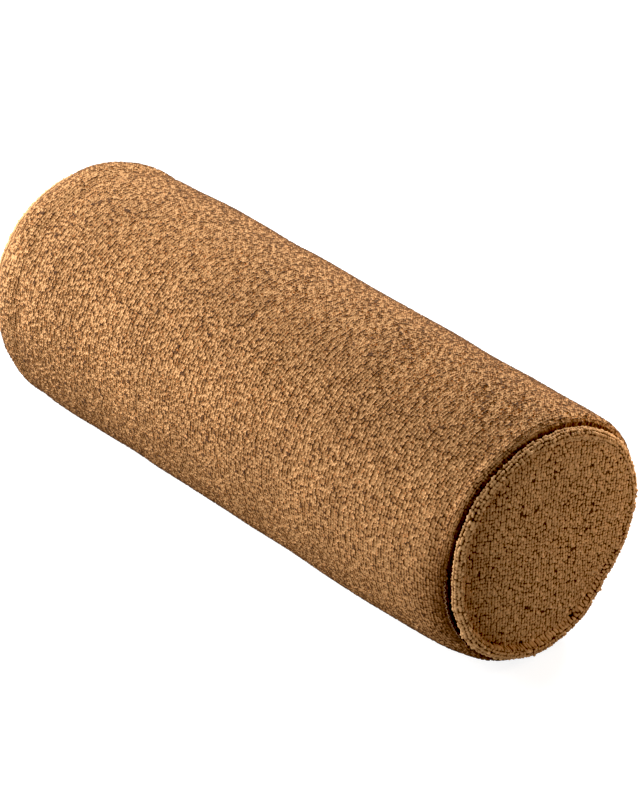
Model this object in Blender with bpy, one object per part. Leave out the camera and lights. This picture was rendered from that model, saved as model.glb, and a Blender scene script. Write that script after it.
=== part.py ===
"""Bolster pillow: a zipped boucle cover over a filled inner cushion.

+X runs along the pillow's axis to its tight right end, +Y is the rear, where the zip is, and
+Z is up. The origin is the middle of the strip on which the pillow rests. Lengths are in metres.
"""
import math
from collections import namedtuple

import bmesh
import bpy
from mathutils import Vector

MM = 0.001

# Driving dimensions of the pillow
HALF_LENGTH = 300 * MM
RADIUS = 105 * MM
REST_STRIP = 45 * MM  # width of the flattened strip under the pillow
CENTRE_Z = math.sqrt(RADIUS**2 - (REST_STRIP / 2) ** 2)  # height of the pillow's axis
GAP = 0.3 * MM  # clearance between neighbouring pieces

# A fabric shell: a tube whose rounded ends meet two end panels in a turned-in seam
Shell = namedtuple("Shell", "radius wall flange_wall flange_length seam_radius ends")
# One end of a shell, right or left
End = namedtuple("End", "side reach rounding dish")

COVER = Shell(
    radius=RADIUS,
    wall=3 * MM,
    flange_wall=1.5 * MM,
    flange_length=12 * MM,
    seam_radius=98 * MM,
    ends={
        "right": End(side=1, reach=HALF_LENGTH, rounding=18 * MM, dish=2 * MM),
        "left": End(side=-1, reach=HALF_LENGTH, rounding=57 * MM, dish=0.0),
    },
)
CASING = Shell(
    radius=98.6 * MM,
    wall=1 * MM,
    flange_wall=0.6 * MM,
    flange_length=6 * MM,
    seam_radius=88 * MM,
    ends={
        "right": End(side=1, reach=290 * MM, rounding=24 * MM, dish=0.0),
        "left": End(side=-1, reach=294 * MM, rounding=62 * MM, dish=0.0),
    },
)
SEAM_GROOVE = 1.4 * MM  # between the two turned-in flanges, where the thread runs
THREAD = 0.8 * MM  # thickness of a sewing thread
STITCH_WAVE = 1.0 * MM  # how far a seam thread weaves to either side
SEAM_STITCHES = 24
TURNS = 48  # facets round the cover
INNER_TURNS = 24  # facets round the insert
ARC_STEPS = 4

# Filling of the insert
FILLING_RADIUS = 96.6 * MM
FILLING_RIGHT = End(side=1, reach=288 * MM, rounding=40 * MM, dish=0.0)
FILLING_LEFT = End(side=-1, reach=291.5 * MM, rounding=75 * MM, dish=0.0)
CORE_RADIUS = 75 * MM
CORE_LEFT = -268 * MM
CORE_RIGHT = 283 * MM
END_PAD_GAP = 1.5 * MM

# Zip, on the rear of the cover. In the zip's own frame x is along the zip, y runs down round
# the pillow, and z is the distance from the pillow's axis.
ZIP_ANGLE = math.radians(-20)  # of the zip line, from the horizontal
SLOT_HALF_LENGTH = 200 * MM
SLOT_HALF_WIDTH = 6 * MM
SLOT_END_TAPER = 2 * MM
BACK_SEAM_HALF_WIDTH = 0.7 * MM
TAPE_TOP = COVER.radius - COVER.wall - 2 * GAP
TAPE_THICKNESS = 0.7 * MM
TAPE_INNER_EDGE = 3.2 * MM
TAPE_OUTER_EDGE = 16 * MM
TAPE_HALF_LENGTH = 212 * MM
TOOTH_PITCH = 4 * MM
TOOTH_WIDTH = 1.5 * MM
TOOTH_REACH = 1.0 * MM  # past the middle of the zip
TEETH_LOW = 100.4 * MM
TEETH_HIGH = 102.4 * MM
CHAIN_ROOT = 2.0 * MM
CHAIN_EDGE = 2.9 * MM
STOP_LENGTH = 3 * MM
CHAIN_START = -181.5 * MM

SLIDER_X = 186.5 * MM  # closed
SLIDER_HALF_WIDTH = 4.6 * MM
SLIDER_BACK = -6 * MM
SLIDER_FRONT = 5 * MM
SLIDER_PLATE = 1.0 * MM
SLIDER_LOW = 99.1 * MM
SLIDER_HIGH = 103.75 * MM
RAIL_WIDTH = 0.9 * MM
DIVIDER_BACK = 0.7 * MM
DIVIDER_HALF_WIDTH = 1.0 * MM
BRIDGE_HALF_LENGTH = 3.6 * MM
BRIDGE_HALF_WIDTH = 1.2 * MM
BRIDGE_BAR = 1.0 * MM
PIVOT_Z = 104.75 * MM  # hinge of the pull, under the bridge
PULL_THICKNESS = 1.2 * MM
PULL_HALF_WIDTH = 3.5 * MM
PULL_LENGTH = 20 * MM
EYE_HALF_WIDTH = 1.9 * MM
EYE_LENGTH = 6.5 * MM

TOPSTITCH_Y = 9 * MM
TOPSTITCH_LENGTH = 6 * MM
TOPSTITCH_HALF_RUN = 198 * MM

LABEL_X = -223.5 * MM
LABEL_WIDTH = 25 * MM
LABEL_LENGTH = 38 * MM
LABEL_THICKNESS = 0.5 * MM
LABEL_BEAD = 0.5 * MM  # radius of the sewn edge that the label turns on
LABEL_Z = COVER.radius + LABEL_BEAD + GAP
LABEL_CORNER = 3 * MM

# Colour, roughness and metallic value of each material
FINISHES = {
    "boucle": ((0.47, 0.25, 0.11), 0.95, 0.0),
    "sewing_thread": ((0.40, 0.22, 0.10), 0.7, 0.0),
    "zip_tape": ((0.34, 0.19, 0.09), 0.85, 0.0),
    "zip_teeth": ((0.30, 0.17, 0.08), 0.4, 0.0),
    "zip_metal": ((0.62, 0.50, 0.33), 0.32, 1.0),
    "label_cloth": ((0.86, 0.84, 0.79), 0.7, 0.0),
    "casing_cloth": ((0.82, 0.80, 0.75), 0.9, 0.0),
    "wadding": ((0.92, 0.92, 0.90), 0.98, 0.0),
    "foam": ((0.88, 0.84, 0.62), 0.9, 0.0),
}


def clear_scene():
    for old in list(bpy.data.objects):
        bpy.data.objects.remove(old, do_unlink=True)


def finish_of(name):
    """The shared Principled material of that name."""
    known = bpy.data.materials.get(name)
    if known:
        return known
    colour, roughness, metallic = FINISHES[name]
    made = bpy.data.materials.new(name)
    made.use_nodes = True
    shader = made.node_tree.nodes["Principled BSDF"]
    shader.inputs["Base Color"].default_value = (*colour, 1.0)
    shader.inputs["Roughness"].default_value = roughness
    shader.inputs["Metallic"].default_value = metallic
    made.diffuse_color = (*colour, 1.0)
    return made


def add_piece(name, solid, finish, parent=None, location=(0.0, 0.0, 0.0), smooth=True):
    """Makes an object of a bmesh, with its faces pointing out."""
    bmesh.ops.remove_doubles(solid, verts=solid.verts, dist=1e-6)
    bmesh.ops.recalc_face_normals(solid, faces=solid.faces)
    mesh = bpy.data.meshes.new(name)
    solid.to_mesh(mesh)
    solid.free()
    mesh.materials.append(finish_of(finish))
    if smooth:
        mesh.shade_smooth()
        mesh.set_sharp_from_angle(angle=math.radians(35))
    piece = bpy.data.objects.new(name, mesh)
    piece.location = location
    piece.parent = parent
    bpy.context.scene.collection.objects.link(piece)
    return piece


def add_empty(name, location, turn_about_x):
    frame = bpy.data.objects.new(name, None)
    frame.location = location
    frame.rotation_euler.x = turn_about_x
    bpy.context.scene.collection.objects.link(frame)
    return frame


# ---------------------------------------------------------------- shells of revolution


def spin_profile(profile, turns, closed):
    """Revolves (x, radius) points about the pillow's axis; an open profile ends on the axis."""
    solid = bmesh.new()
    points = [solid.verts.new((x, 0.0, radius)) for x, radius in profile]
    pairs = list(zip(points, points[1:]))
    if closed:
        pairs.append((points[-1], points[0]))
    edges = [solid.edges.new(pair) for pair in pairs]
    bmesh.ops.spin(
        solid,
        geom=points + edges,
        cent=(0.0, 0.0, 0.0),
        axis=(1.0, 0.0, 0.0),
        angle=math.tau,
        steps=turns,
        use_merge=True,
    )
    bmesh.ops.remove_doubles(solid, verts=solid.verts, dist=1e-6)
    return solid


def flatten_under(solid, floor):
    """Lifts what lies under the floor height, given above the ground, and sets the axis height."""
    for vert in solid.verts:
        vert.co.z = max(vert.co.z + CENTRE_Z, floor)


def arc(centre_x, centre_r, radius, start, stop, steps=ARC_STEPS):
    """Points of an arc; angle 0 is straight out from the axis, a right angle is endwards."""
    points = []
    for step in range(steps + 1):
        angle = start + (stop - start) * step / steps
        points.append((centre_x + radius * math.sin(angle), centre_r + radius * math.cos(angle)))
    return points


class EndShape:
    """Where one end's rounding, seam and flanges lie, with x counted towards that end."""

    def __init__(self, shell, end):
        self.centre_x = end.reach - end.rounding
        self.centre_r = shell.radius - end.rounding
        self.outer = end.rounding
        self.inner = end.rounding - shell.wall
        self.tube_flange_r = shell.seam_radius - SEAM_GROOVE / 2
        self.panel_flange_r = self.tube_flange_r - SEAM_GROOVE
        self.seam_angle = self.angle_at(shell.seam_radius, self.outer)
        self.seam_x = self.centre_x + self.outer * math.sin(self.seam_angle)
        self.flange_x = self.seam_x - shell.flange_length

    def angle_at(self, radius_from_axis, arc_radius):
        return math.acos((radius_from_axis - self.centre_r) / arc_radius)


def tube_end_strip(shell, end):
    """Pairs of outer and inner points, from where the rounding begins to the flange's edge."""
    shape = EndShape(shell, end)
    fold_r = shape.tube_flange_r + shell.flange_wall
    outer = arc(shape.centre_x, shape.centre_r, shape.outer, 0.0, shape.seam_angle)
    inner = arc(
        shape.centre_x, shape.centre_r, shape.inner, 0.0, shape.angle_at(fold_r, shape.inner)
    )
    outer.append((shape.seam_x - GAP, shape.tube_flange_r))
    inner.append((inner[-1][0] - GAP, fold_r))
    outer.append((shape.flange_x, shape.tube_flange_r))
    inner.append((shape.flange_x, fold_r))
    side = end.side
    return [((side * ox, orr), (side * ix, ir)) for (ox, orr), (ix, ir) in zip(outer, inner)]


def panel_profile(shell, end):
    """Closed outline of an end panel, from the axis outside round its flange to the axis."""
    shape = EndShape(shell, end)
    flange_inside = shape.panel_flange_r - shell.flange_wall
    right_angle = math.pi / 2
    face_x = end.reach - end.dish
    outside = [(face_x + end.dish / 2, 0.0)]
    if end.dish:
        outside.append((face_x + end.dish / 4, shape.centre_r / 2))
        outside.append((face_x, shape.centre_r - 5 * MM))
        outside.append((face_x + end.dish * 0.7, shape.centre_r - 2 * MM))
    outside += arc(
        shape.centre_x,
        shape.centre_r,
        shape.outer,
        right_angle,
        shape.angle_at(shape.panel_flange_r, shape.outer),
    )
    inside = arc(
        shape.centre_x,
        shape.centre_r,
        shape.inner,
        shape.angle_at(flange_inside, shape.inner),
        right_angle,
    )
    if end.dish:
        inside.append((face_x - shell.wall, shape.centre_r - 5 * MM))
    inside.append((face_x - shell.wall, 0.0))
    flange = [(shape.flange_x, shape.panel_flange_r), (shape.flange_x, flange_inside)]
    return [(end.side * x, r) for x, r in outside + flange + inside]


def add_panel(name, shell, end, finish, turns):
    solid = spin_profile(panel_profile(shell, end), turns, closed=False)
    flatten_under(solid, 0.0)
    return add_piece(name, solid, finish)


def add_seam_thread(name, shell, end, stitches):
    """A thread that weaves along the groove between the two flanges of an end seam."""
    shape = EndShape(shell, end)
    middle_r = shape.tube_flange_r - SEAM_GROOVE / 2
    middle_x = shape.flange_x + shell.flange_length / 3
    half = THREAD / 2
    steps = 2 * stitches
    solid = bmesh.new()
    rings = []
    for step in range(steps):
        angle = math.tau * step / steps
        sway = STITCH_WAVE if step % 2 else -STITCH_WAVE
        ring = []
        for along, out in ((-half, 0.0), (0.0, half), (half, 0.0), (0.0, -half)):
            radius = middle_r + out
            x = end.side * (middle_x + sway + along)
            ring.append(solid.verts.new((x, radius * math.cos(angle), radius * math.sin(angle))))
        rings.append(ring)
    bridge_rings(solid, rings, closed=True)
    flatten_under(solid, 0.0)
    return add_piece(name, solid, "sewing_thread")


def bridge_rings(solid, rings, closed):
    """Walls between neighbouring rings of points; an open run is capped at both ends."""
    pairs = list(zip(rings, rings[1:]))
    if closed:
        pairs.append((rings[-1], rings[0]))
    else:
        solid.faces.new(rings[0])
        solid.faces.new(reversed(rings[-1]))
    for one, two in pairs:
        count = len(one)
        for k in range(count):
            after = (k + 1) % count
            solid.faces.new((one[k], two[k], two[after], one[after]))


# ---------------------------------------------------------------- cover


def back_opening(x):
    """Half width of the gap between the panel's two long edges, at x along the zip."""
    past = (abs(x) - SLOT_HALF_LENGTH) / SLOT_END_TAPER
    share = min(max(past, 0.0), 1.0)
    return SLOT_HALF_WIDTH + (BACK_SEAM_HALF_WIDTH - SLOT_HALF_WIDTH) * share


def cover_stations():
    """Outer and inner points along the cover, from the left flange to the right one."""
    left = tube_end_strip(COVER, COVER.ends["left"])
    right = tube_end_strip(COVER, COVER.ends["right"])
    bends = (
        -SLOT_HALF_LENGTH - SLOT_END_TAPER,
        -SLOT_HALF_LENGTH,
        SLOT_HALF_LENGTH,
        SLOT_HALF_LENGTH + SLOT_END_TAPER,
    )
    inner_radius = COVER.radius - COVER.wall
    straight = [((x, COVER.radius), (x, inner_radius)) for x in bends]
    return left[::-1] + straight + right


def add_cover_tube():
    """The body panel: one sheet rolled round the pillow, its long edges facing at the zip."""
    solid = bmesh.new()
    stations = cover_stations()
    columns = []
    for turn in range(TURNS + 1):
        column = []
        for pair in stations:
            column.append(
                [solid.verts.new(cover_point(x, r, floor, turn)) for (x, r), floor in
                 zip(pair, (0.0, COVER.wall))]
            )
        columns.append(column)
    for one, two in zip(columns, columns[1:]):
        for k in range(len(stations) - 1):
            solid.faces.new((one[k][0], two[k][0], two[k + 1][0], one[k + 1][0]))
            solid.faces.new((one[k + 1][1], two[k + 1][1], two[k][1], one[k][1]))
        for k in (0, len(stations) - 1):
            solid.faces.new((one[k][0], one[k][1], two[k][1], two[k][0]))
    for column in (columns[0], columns[-1]):
        for low, high in zip(column, column[1:]):
            solid.faces.new((low[0], high[0], high[1], low[1]))
    return add_piece("cover_tube", solid, "boucle")


def cover_point(x, radius, floor, turn):
    """A point of the body panel, which leaves the back opening free."""
    edge = math.asin(back_opening(x) / radius)
    angle = ZIP_ANGLE + edge + (math.tau - 2 * edge) * turn / TURNS
    z = CENTRE_Z + radius * math.sin(angle)
    return (x, radius * math.cos(angle), max(z, floor))


# ---------------------------------------------------------------- zip


def block(solid, low, high):
    """Adds a rectangular block to a bmesh."""
    size = Vector(high) - Vector(low)
    middle = (Vector(high) + Vector(low)) / 2
    made = bmesh.ops.create_cube(solid, size=1.0)
    bmesh.ops.scale(solid, vec=size, verts=made["verts"])
    bmesh.ops.translate(solid, vec=middle, verts=made["verts"])


def prism(solid, outline, low, high):
    """Extrudes an outline of (x, y) points from height low to height high."""
    base = [solid.verts.new((x, y, low)) for x, y in outline]
    face = solid.faces.new(base)
    raised = bmesh.ops.extrude_face_region(solid, geom=[face])
    top = [item for item in raised["geom"] if isinstance(item, bmesh.types.BMVert)]
    bmesh.ops.translate(solid, vec=(0.0, 0.0, high - low), verts=top)


def join_blocks(target, blocks):
    """Unites further blocks, each (low, high), with a piece and hides the helpers used."""
    for number, (low, high) in enumerate(blocks):
        solid = bmesh.new()
        block(solid, low, high)
        helper = add_piece(f"{target.name}_part{number}", solid, "zip_metal", target.parent)
        helper.location = target.location
        helper.hide_render = True
        helper.display_type = "WIRE"
        union = target.modifiers.new(f"join{number}", "BOOLEAN")
        union.operation = "UNION"
        union.solver = "EXACT"
        union.object = helper


def add_tape(name, side, zip_frame):
    """A woven strip under the cover; side -1 is the upper tape and 1 the lower one."""
    solid = bmesh.new()
    steps = 4
    columns = []
    for x in (-TAPE_HALF_LENGTH, TAPE_HALF_LENGTH):
        ring = []
        for radius, order in ((TAPE_TOP, 1), (TAPE_TOP - TAPE_THICKNESS, -1)):
            for step in list(range(steps + 1))[::order]:
                along = TAPE_INNER_EDGE + (TAPE_OUTER_EDGE - TAPE_INNER_EDGE) * step / steps
                angle = side * along / TAPE_TOP
                y = radius * math.sin(angle)
                ring.append(solid.verts.new((x, y, radius * math.cos(angle))))
        columns.append(ring)
    bridge_rings(solid, columns, closed=False)
    return add_piece(name, solid, "zip_tape", zip_frame)


def add_teeth(name, side, zip_frame):
    """A row of teeth on one continuous root; the two rows mesh with half a pitch between them."""
    offset = 0.0 if side < 0 else TOOTH_PITCH / 2
    end = SLIDER_X + DIVIDER_BACK - GAP
    outline = [(CHAIN_START, side * CHAIN_EDGE), (CHAIN_START, side * CHAIN_ROOT)]
    count = int((end - CHAIN_START - offset - TOOTH_WIDTH) / TOOTH_PITCH) + 1
    for number in range(count):
        start = CHAIN_START + GAP + offset + number * TOOTH_PITCH
        outline.append((start, side * CHAIN_ROOT))
        outline.append((start, -side * TOOTH_REACH))
        outline.append((start + TOOTH_WIDTH, -side * TOOTH_REACH))
        outline.append((start + TOOTH_WIDTH, side * CHAIN_ROOT))
    outline.append((end, side * CHAIN_ROOT))
    outline.append((end, side * CHAIN_EDGE))
    solid = bmesh.new()
    prism(solid, outline, TEETH_LOW, TEETH_HIGH)
    return add_piece(name, solid, "zip_teeth", zip_frame, smooth=False)


def add_stops(zip_frame):
    """A stop on each tape past the closed slider, and one across both rows where it opens."""
    start = SLIDER_X + SLIDER_FRONT + GAP
    for name, side in (("zip_top_stop_upper", -1), ("zip_top_stop_lower", 1)):
        solid = bmesh.new()
        edges = sorted((side * DIVIDER_HALF_WIDTH, side * CHAIN_EDGE))
        block(solid, (start, edges[0], TEETH_LOW), (start + STOP_LENGTH, edges[1], TEETH_HIGH))
        bmesh.ops.bevel(solid, geom=solid.edges[:], offset=0.3 * MM, segments=1, affect="EDGES")
        add_piece(name, solid, "zip_metal", zip_frame)
    solid = bmesh.new()
    end = CHAIN_START - GAP
    low = (end - STOP_LENGTH, -CHAIN_EDGE, TEETH_LOW - GAP)
    block(solid, low, (end, CHAIN_EDGE, TEETH_HIGH + GAP))
    bmesh.ops.bevel(solid, geom=solid.edges[:], offset=0.3 * MM, segments=1, affect="EDGES")
    add_piece("zip_bottom_stop", solid, "zip_metal", zip_frame)


def add_slider(zip_frame):
    """Two plates with side rails, joined by the divider at the front, and a bridge on top."""
    half = SLIDER_HALF_WIDTH
    lap = 0.1 * MM  # how far united blocks reach into each other
    top_low = SLIDER_HIGH - SLIDER_PLATE
    bottom_high = SLIDER_LOW + SLIDER_PLATE
    tape_low = TAPE_TOP - TAPE_THICKNESS
    solid = bmesh.new()
    block(solid, (SLIDER_BACK, -half, SLIDER_LOW), (SLIDER_FRONT, half, bottom_high))
    corners = [edge for edge in solid.edges if abs(edge.verts[0].co.z - edge.verts[1].co.z) > GAP]
    bmesh.ops.bevel(solid, geom=corners, offset=1.2 * MM, segments=2, affect="EDGES")
    slider = add_piece("zip_slider", solid, "zip_metal", zip_frame, (SLIDER_X, 0.0, 0.0))
    rail_back = SLIDER_BACK + 1.5 * MM
    rail_front = SLIDER_FRONT - 1.5 * MM
    rail_inside = half - RAIL_WIDTH
    bar_high = PIVOT_Z + PULL_THICKNESS / 2 + GAP
    bridge_top = bar_high + BRIDGE_BAR
    post_inside = BRIDGE_HALF_LENGTH - BRIDGE_BAR
    wide = BRIDGE_HALF_WIDTH
    blocks = [
        (
            (SLIDER_BACK + lap, lap - half, top_low),
            (SLIDER_FRONT - lap, half - lap, SLIDER_HIGH),
        ),
        (
            (DIVIDER_BACK, -DIVIDER_HALF_WIDTH, bottom_high - lap),
            (SLIDER_FRONT - 2 * lap, DIVIDER_HALF_WIDTH, top_low + lap),
        ),
    ]
    for inside, outside in ((rail_inside, half - 2 * lap), (2 * lap - half, -rail_inside)):
        blocks.append(
            ((rail_back, inside, bottom_high - lap), (rail_front, outside, tape_low - GAP))
        )
        blocks.append(
            ((rail_back, inside, TAPE_TOP + GAP), (rail_front, outside, top_low + lap))
        )
    for back, front in ((-BRIDGE_HALF_LENGTH, -post_inside), (post_inside, BRIDGE_HALF_LENGTH)):
        blocks.append(((back, -wide, SLIDER_HIGH - lap), (front, wide, bar_high + lap)))
    blocks.append(
        (
            (-BRIDGE_HALF_LENGTH - lap, -wide - lap, bar_high),
            (BRIDGE_HALF_LENGTH + lap, wide + lap, bridge_top),
        )
    )
    join_blocks(slider, blocks)
    return slider


def add_pull(zip_frame):
    """A flat tab whose eye runs round the slider's bridge; its origin is on the hinge axis."""
    half = PULL_THICKNESS / 2
    solid = bmesh.new()
    nose = PULL_LENGTH - PULL_HALF_WIDTH
    outside = [(half, -EYE_HALF_WIDTH - 1 * MM), (half, EYE_HALF_WIDTH + 1 * MM)]
    outside.append((-2.5 * MM, PULL_HALF_WIDTH))
    for step in range(7):
        angle = math.pi * step / 6
        x = -nose - PULL_HALF_WIDTH * math.sin(angle)
        outside.append((x, PULL_HALF_WIDTH * math.cos(angle)))
    outside.append((-2.5 * MM, -PULL_HALF_WIDTH))
    prism(solid, outside, -half, half)
    place = (SLIDER_X, 0.0, PIVOT_Z)
    pull = add_piece("zip_pull", solid, "zip_metal", zip_frame, place)
    eye = bmesh.new()
    block(eye, (-EYE_LENGTH, -EYE_HALF_WIDTH, -2 * half), (-half, EYE_HALF_WIDTH, 2 * half))
    cutter = add_piece("zip_pull_eye", eye, "zip_metal", zip_frame, place)
    cutter.hide_render = True
    cutter.display_type = "WIRE"
    cut = pull.modifiers.new("eye", "BOOLEAN")
    cut.operation = "DIFFERENCE"
    cut.solver = "EXACT"
    cut.object = cutter
    return pull


def add_topstitch(name, side, zip_frame):
    """The row of stitches that holds a tape, on the cover beside the opening."""
    half = THREAD / 2
    low = COVER.radius + GAP
    count = int(2 * TOPSTITCH_HALF_RUN / TOPSTITCH_LENGTH)
    solid = bmesh.new()
    rings = []
    for number in range(2 * count + 1):
        x = -TOPSTITCH_HALF_RUN + number * TOPSTITCH_LENGTH / 2
        rise = half if number % 2 else 0.0
        angle = side * TOPSTITCH_Y / COVER.radius
        ring = []
        for across, up in ((-half, 0.0), (0.0, half + rise), (half, 0.0)):
            radius = low + up
            y = radius * math.sin(angle) + across * math.cos(angle)
            z = radius * math.cos(angle) - across * math.sin(angle)
            ring.append(solid.verts.new((x, y, z)))
        rings.append(ring)
    bridge_rings(solid, rings, closed=False)
    return add_piece(name, solid, "sewing_thread", zip_frame)


def add_back_seam_thread(name, start, stop, zip_frame):
    """The stitches that close the back seam between an end of the zip and an end seam."""
    half = THREAD / 2
    depth = COVER.radius - COVER.wall / 2
    pitch = 4 * MM
    count = int((stop - start) / pitch)
    solid = bmesh.new()
    rings = []
    for number in range(count + 1):
        x = start + number * pitch
        sway = GAP / 2 if number % 2 else -GAP / 2
        ring = [
            solid.verts.new((x, y, depth + sway + z))
            for y, z in ((-half / 2, 0.0), (0.0, half), (half / 2, 0.0), (0.0, -half))
        ]
        rings.append(ring)
    bridge_rings(solid, rings, closed=False)
    return add_piece(name, solid, "sewing_thread", zip_frame)


def add_label(zip_frame):
    """A blank care label sewn into the back seam, hanging from its sewn edge."""
    solid = bmesh.new()
    rounded = 5
    half = LABEL_THICKNESS / 2
    outline = []
    for step in range(2 * rounded):
        angle = math.tau * (step / (2 * rounded)) + math.pi / (2 * rounded)
        outline.append((LABEL_BEAD * math.cos(angle), LABEL_BEAD * math.sin(angle)))
    flat = [(y, z) for y, z in outline if y < 0.4 * LABEL_BEAD]
    flat = sorted(flat, key=lambda point: math.atan2(point[1], -point[0]))
    section = [(LABEL_LENGTH, -half)] + flat + [(LABEL_LENGTH, half)]
    ends = []
    for x in (-LABEL_WIDTH / 2, LABEL_WIDTH / 2):
        ends.append([solid.verts.new((x, y, z)) for y, z in section])
    bridge_rings(solid, ends, closed=False)
    corners = [
        edge
        for edge in solid.edges
        if all(vert.co.y > LABEL_LENGTH - GAP for vert in edge.verts)
        and abs(edge.verts[0].co.z - edge.verts[1].co.z) > half
    ]
    bmesh.ops.bevel(solid, geom=corners, offset=LABEL_CORNER, segments=3, affect="EDGES")
    return add_piece("care_label", solid, "label_cloth", zip_frame, (LABEL_X, 0.0, LABEL_Z))


def add_zip():
    zip_frame = add_empty("zip_frame", (0.0, 0.0, CENTRE_Z), ZIP_ANGLE - math.pi / 2)
    add_tape("zip_tape_upper", -1, zip_frame)
    add_tape("zip_tape_lower", 1, zip_frame)
    add_teeth("zip_teeth_upper", -1, zip_frame)
    add_teeth("zip_teeth_lower", 1, zip_frame)
    add_stops(zip_frame)
    add_slider(zip_frame)
    add_pull(zip_frame)
    add_topstitch("zip_stitches_upper", -1, zip_frame)
    add_topstitch("zip_stitches_lower", 1, zip_frame)
    seam_start = SLOT_HALF_LENGTH + 2 * SLOT_END_TAPER
    straight_left = HALF_LENGTH - COVER.ends["left"].rounding
    straight_right = HALF_LENGTH - COVER.ends["right"].rounding
    add_back_seam_thread("back_seam_thread_left", -straight_left, -seam_start, zip_frame)
    add_back_seam_thread("back_seam_thread_right", seam_start, straight_right, zip_frame)
    add_label(zip_frame)


# ---------------------------------------------------------------- insert


def add_casing_tube():
    """The insert's plain cotton tube, a closed ring of cloth with both edges turned in."""
    strip = tube_end_strip(CASING, CASING.ends["left"])[::-1]
    strip += tube_end_strip(CASING, CASING.ends["right"])
    outline = [outer for outer, _ in strip] + [inner for _, inner in strip[::-1]]
    solid = spin_profile(outline, INNER_TURNS, closed=True)
    flatten_under(solid, 0.0)
    return add_piece("insert_casing", solid, "casing_cloth")


def filling_arc(end, start, stop):
    """The filling's rounding at one end, which stays clear of the casing's seam."""
    centre_r = FILLING_RADIUS - end.rounding
    points = arc(end.reach - end.rounding, centre_r, end.rounding, start, stop, 2 * ARC_STEPS)
    return [(end.side * x, r) for x, r in points]


def angle_at_radius(end, radius):
    """Where along its rounding the filling has that radius."""
    return math.acos((radius - FILLING_RADIUS + end.rounding) / end.rounding)


def add_wadding():
    """Fibre wadding wrapped round the core, open at both ends."""
    bore = CORE_RADIUS + GAP
    outline = filling_arc(FILLING_LEFT, angle_at_radius(FILLING_LEFT, bore), 0.0)
    outline += filling_arc(FILLING_RIGHT, 0.0, angle_at_radius(FILLING_RIGHT, bore))
    solid = spin_profile(outline, INNER_TURNS, closed=True)
    flatten_under(solid, 0.0)
    return add_piece("fibre_wadding", solid, "wadding")


def add_end_pad():
    """A domed pad of fibre between the core's left end and the casing."""
    end = FILLING_LEFT
    start = math.asin((-CORE_LEFT + END_PAD_GAP - end.reach + end.rounding) / end.rounding)
    outline = filling_arc(end, start, math.pi / 2)
    outline.insert(0, (outline[0][0], 0.0))
    outline.append((outline[-1][0], 0.0))
    solid = spin_profile(outline, INNER_TURNS, closed=False)
    flatten_under(solid, 0.0)
    return add_piece("fibre_end_pad", solid, "wadding")


def add_core():
    solid = spin_profile(
        [(CORE_LEFT, 0.0), (CORE_LEFT, CORE_RADIUS), (CORE_RIGHT, CORE_RADIUS), (CORE_RIGHT, 0.0)],
        INNER_TURNS,
        closed=False,
    )
    flatten_under(solid, 0.0)
    return add_piece("foam_core", solid, "foam")


def add_insert():
    add_casing_tube()
    for side, end in CASING.ends.items():
        add_panel(f"insert_end_{side}", CASING, end, "casing_cloth", INNER_TURNS)
        add_seam_thread(f"insert_seam_thread_{side}", CASING, end, INNER_TURNS // 2)
    add_wadding()
    add_end_pad()
    add_core()


def add_cover():
    add_cover_tube()
    for side, end in COVER.ends.items():
        add_panel(f"cover_end_{side}", COVER, end, "boucle", TURNS)
        add_seam_thread(f"cover_seam_thread_{side}", COVER, end, SEAM_STITCHES)


clear_scene()
add_cover()
add_zip()
add_insert()
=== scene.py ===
"""Looks of the bolster pillow: its boucle cover, seams, zip and label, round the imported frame.

The frame's axes are: +X along the pillow to its tight right end, +Y to the rear, +Z up.
Sizes are in metres. Angles round the pillow are counted from +Y towards +Z.
"""
import math

import bmesh
import bpy
import numpy as np
from mathutils import Matrix, Vector


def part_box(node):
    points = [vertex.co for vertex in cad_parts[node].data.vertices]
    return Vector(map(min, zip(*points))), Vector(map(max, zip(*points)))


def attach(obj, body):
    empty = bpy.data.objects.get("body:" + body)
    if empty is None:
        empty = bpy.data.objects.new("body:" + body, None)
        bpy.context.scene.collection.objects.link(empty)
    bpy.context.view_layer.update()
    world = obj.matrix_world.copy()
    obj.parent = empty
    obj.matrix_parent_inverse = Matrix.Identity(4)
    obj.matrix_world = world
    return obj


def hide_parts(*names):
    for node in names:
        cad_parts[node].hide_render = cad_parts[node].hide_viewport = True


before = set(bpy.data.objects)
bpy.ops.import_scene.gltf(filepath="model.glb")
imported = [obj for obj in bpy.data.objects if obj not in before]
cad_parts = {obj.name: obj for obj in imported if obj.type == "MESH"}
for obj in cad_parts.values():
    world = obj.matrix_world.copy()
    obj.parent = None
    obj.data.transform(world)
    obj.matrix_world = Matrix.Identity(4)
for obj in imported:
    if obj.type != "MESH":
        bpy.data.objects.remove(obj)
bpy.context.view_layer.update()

MM = 0.001

# ---------------------------------------------------------------- sizes taken from the frame


def half_width(node):
    """Half of a CAD node's box from its front to its rear."""
    low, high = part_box(node)
    return (high[1] - low[1]) / 2


RADIUS = half_width("cover_tube")
AXIS_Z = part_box("cover_tube")[1][2] - RADIUS
RIGHT_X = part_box("cover_end_right")[1][0]
LEFT_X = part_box("cover_end_left")[0][0]
LIP_RADIUS = half_width("cover_end_right")  # outer radius of the end panels
SEAM_RADIUS = LIP_RADIUS + 2.1 * MM
FLANGE_DEPTH = 12 * MM
RIGHT_ROUNDING = 18 * MM
LEFT_ROUNDING = 57 * MM
_, zip_y, zip_z = np.mean([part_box("zip_teeth_upper"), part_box("zip_teeth_lower")], axis=(0, 1))
ZIP_ANGLE = math.atan2(zip_z - AXIS_Z, zip_y)
SLOT_HALF_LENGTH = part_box("zip_stitches_upper")[1][0] + 2 * MM
SLOT_HALF_WIDTH = 6 * MM
SLOT_END_TAPER = 7 * MM  # over which the slot closes, ending just past its nominal end
BACK_SEAM_HALF_WIDTH = -0.4 * MM  # the two folded edges press into each other
TAPE_TOP = 101.4 * MM  # distance of the zip tapes from the pillow's axis
TAPE_WALL = 0.7 * MM
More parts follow.
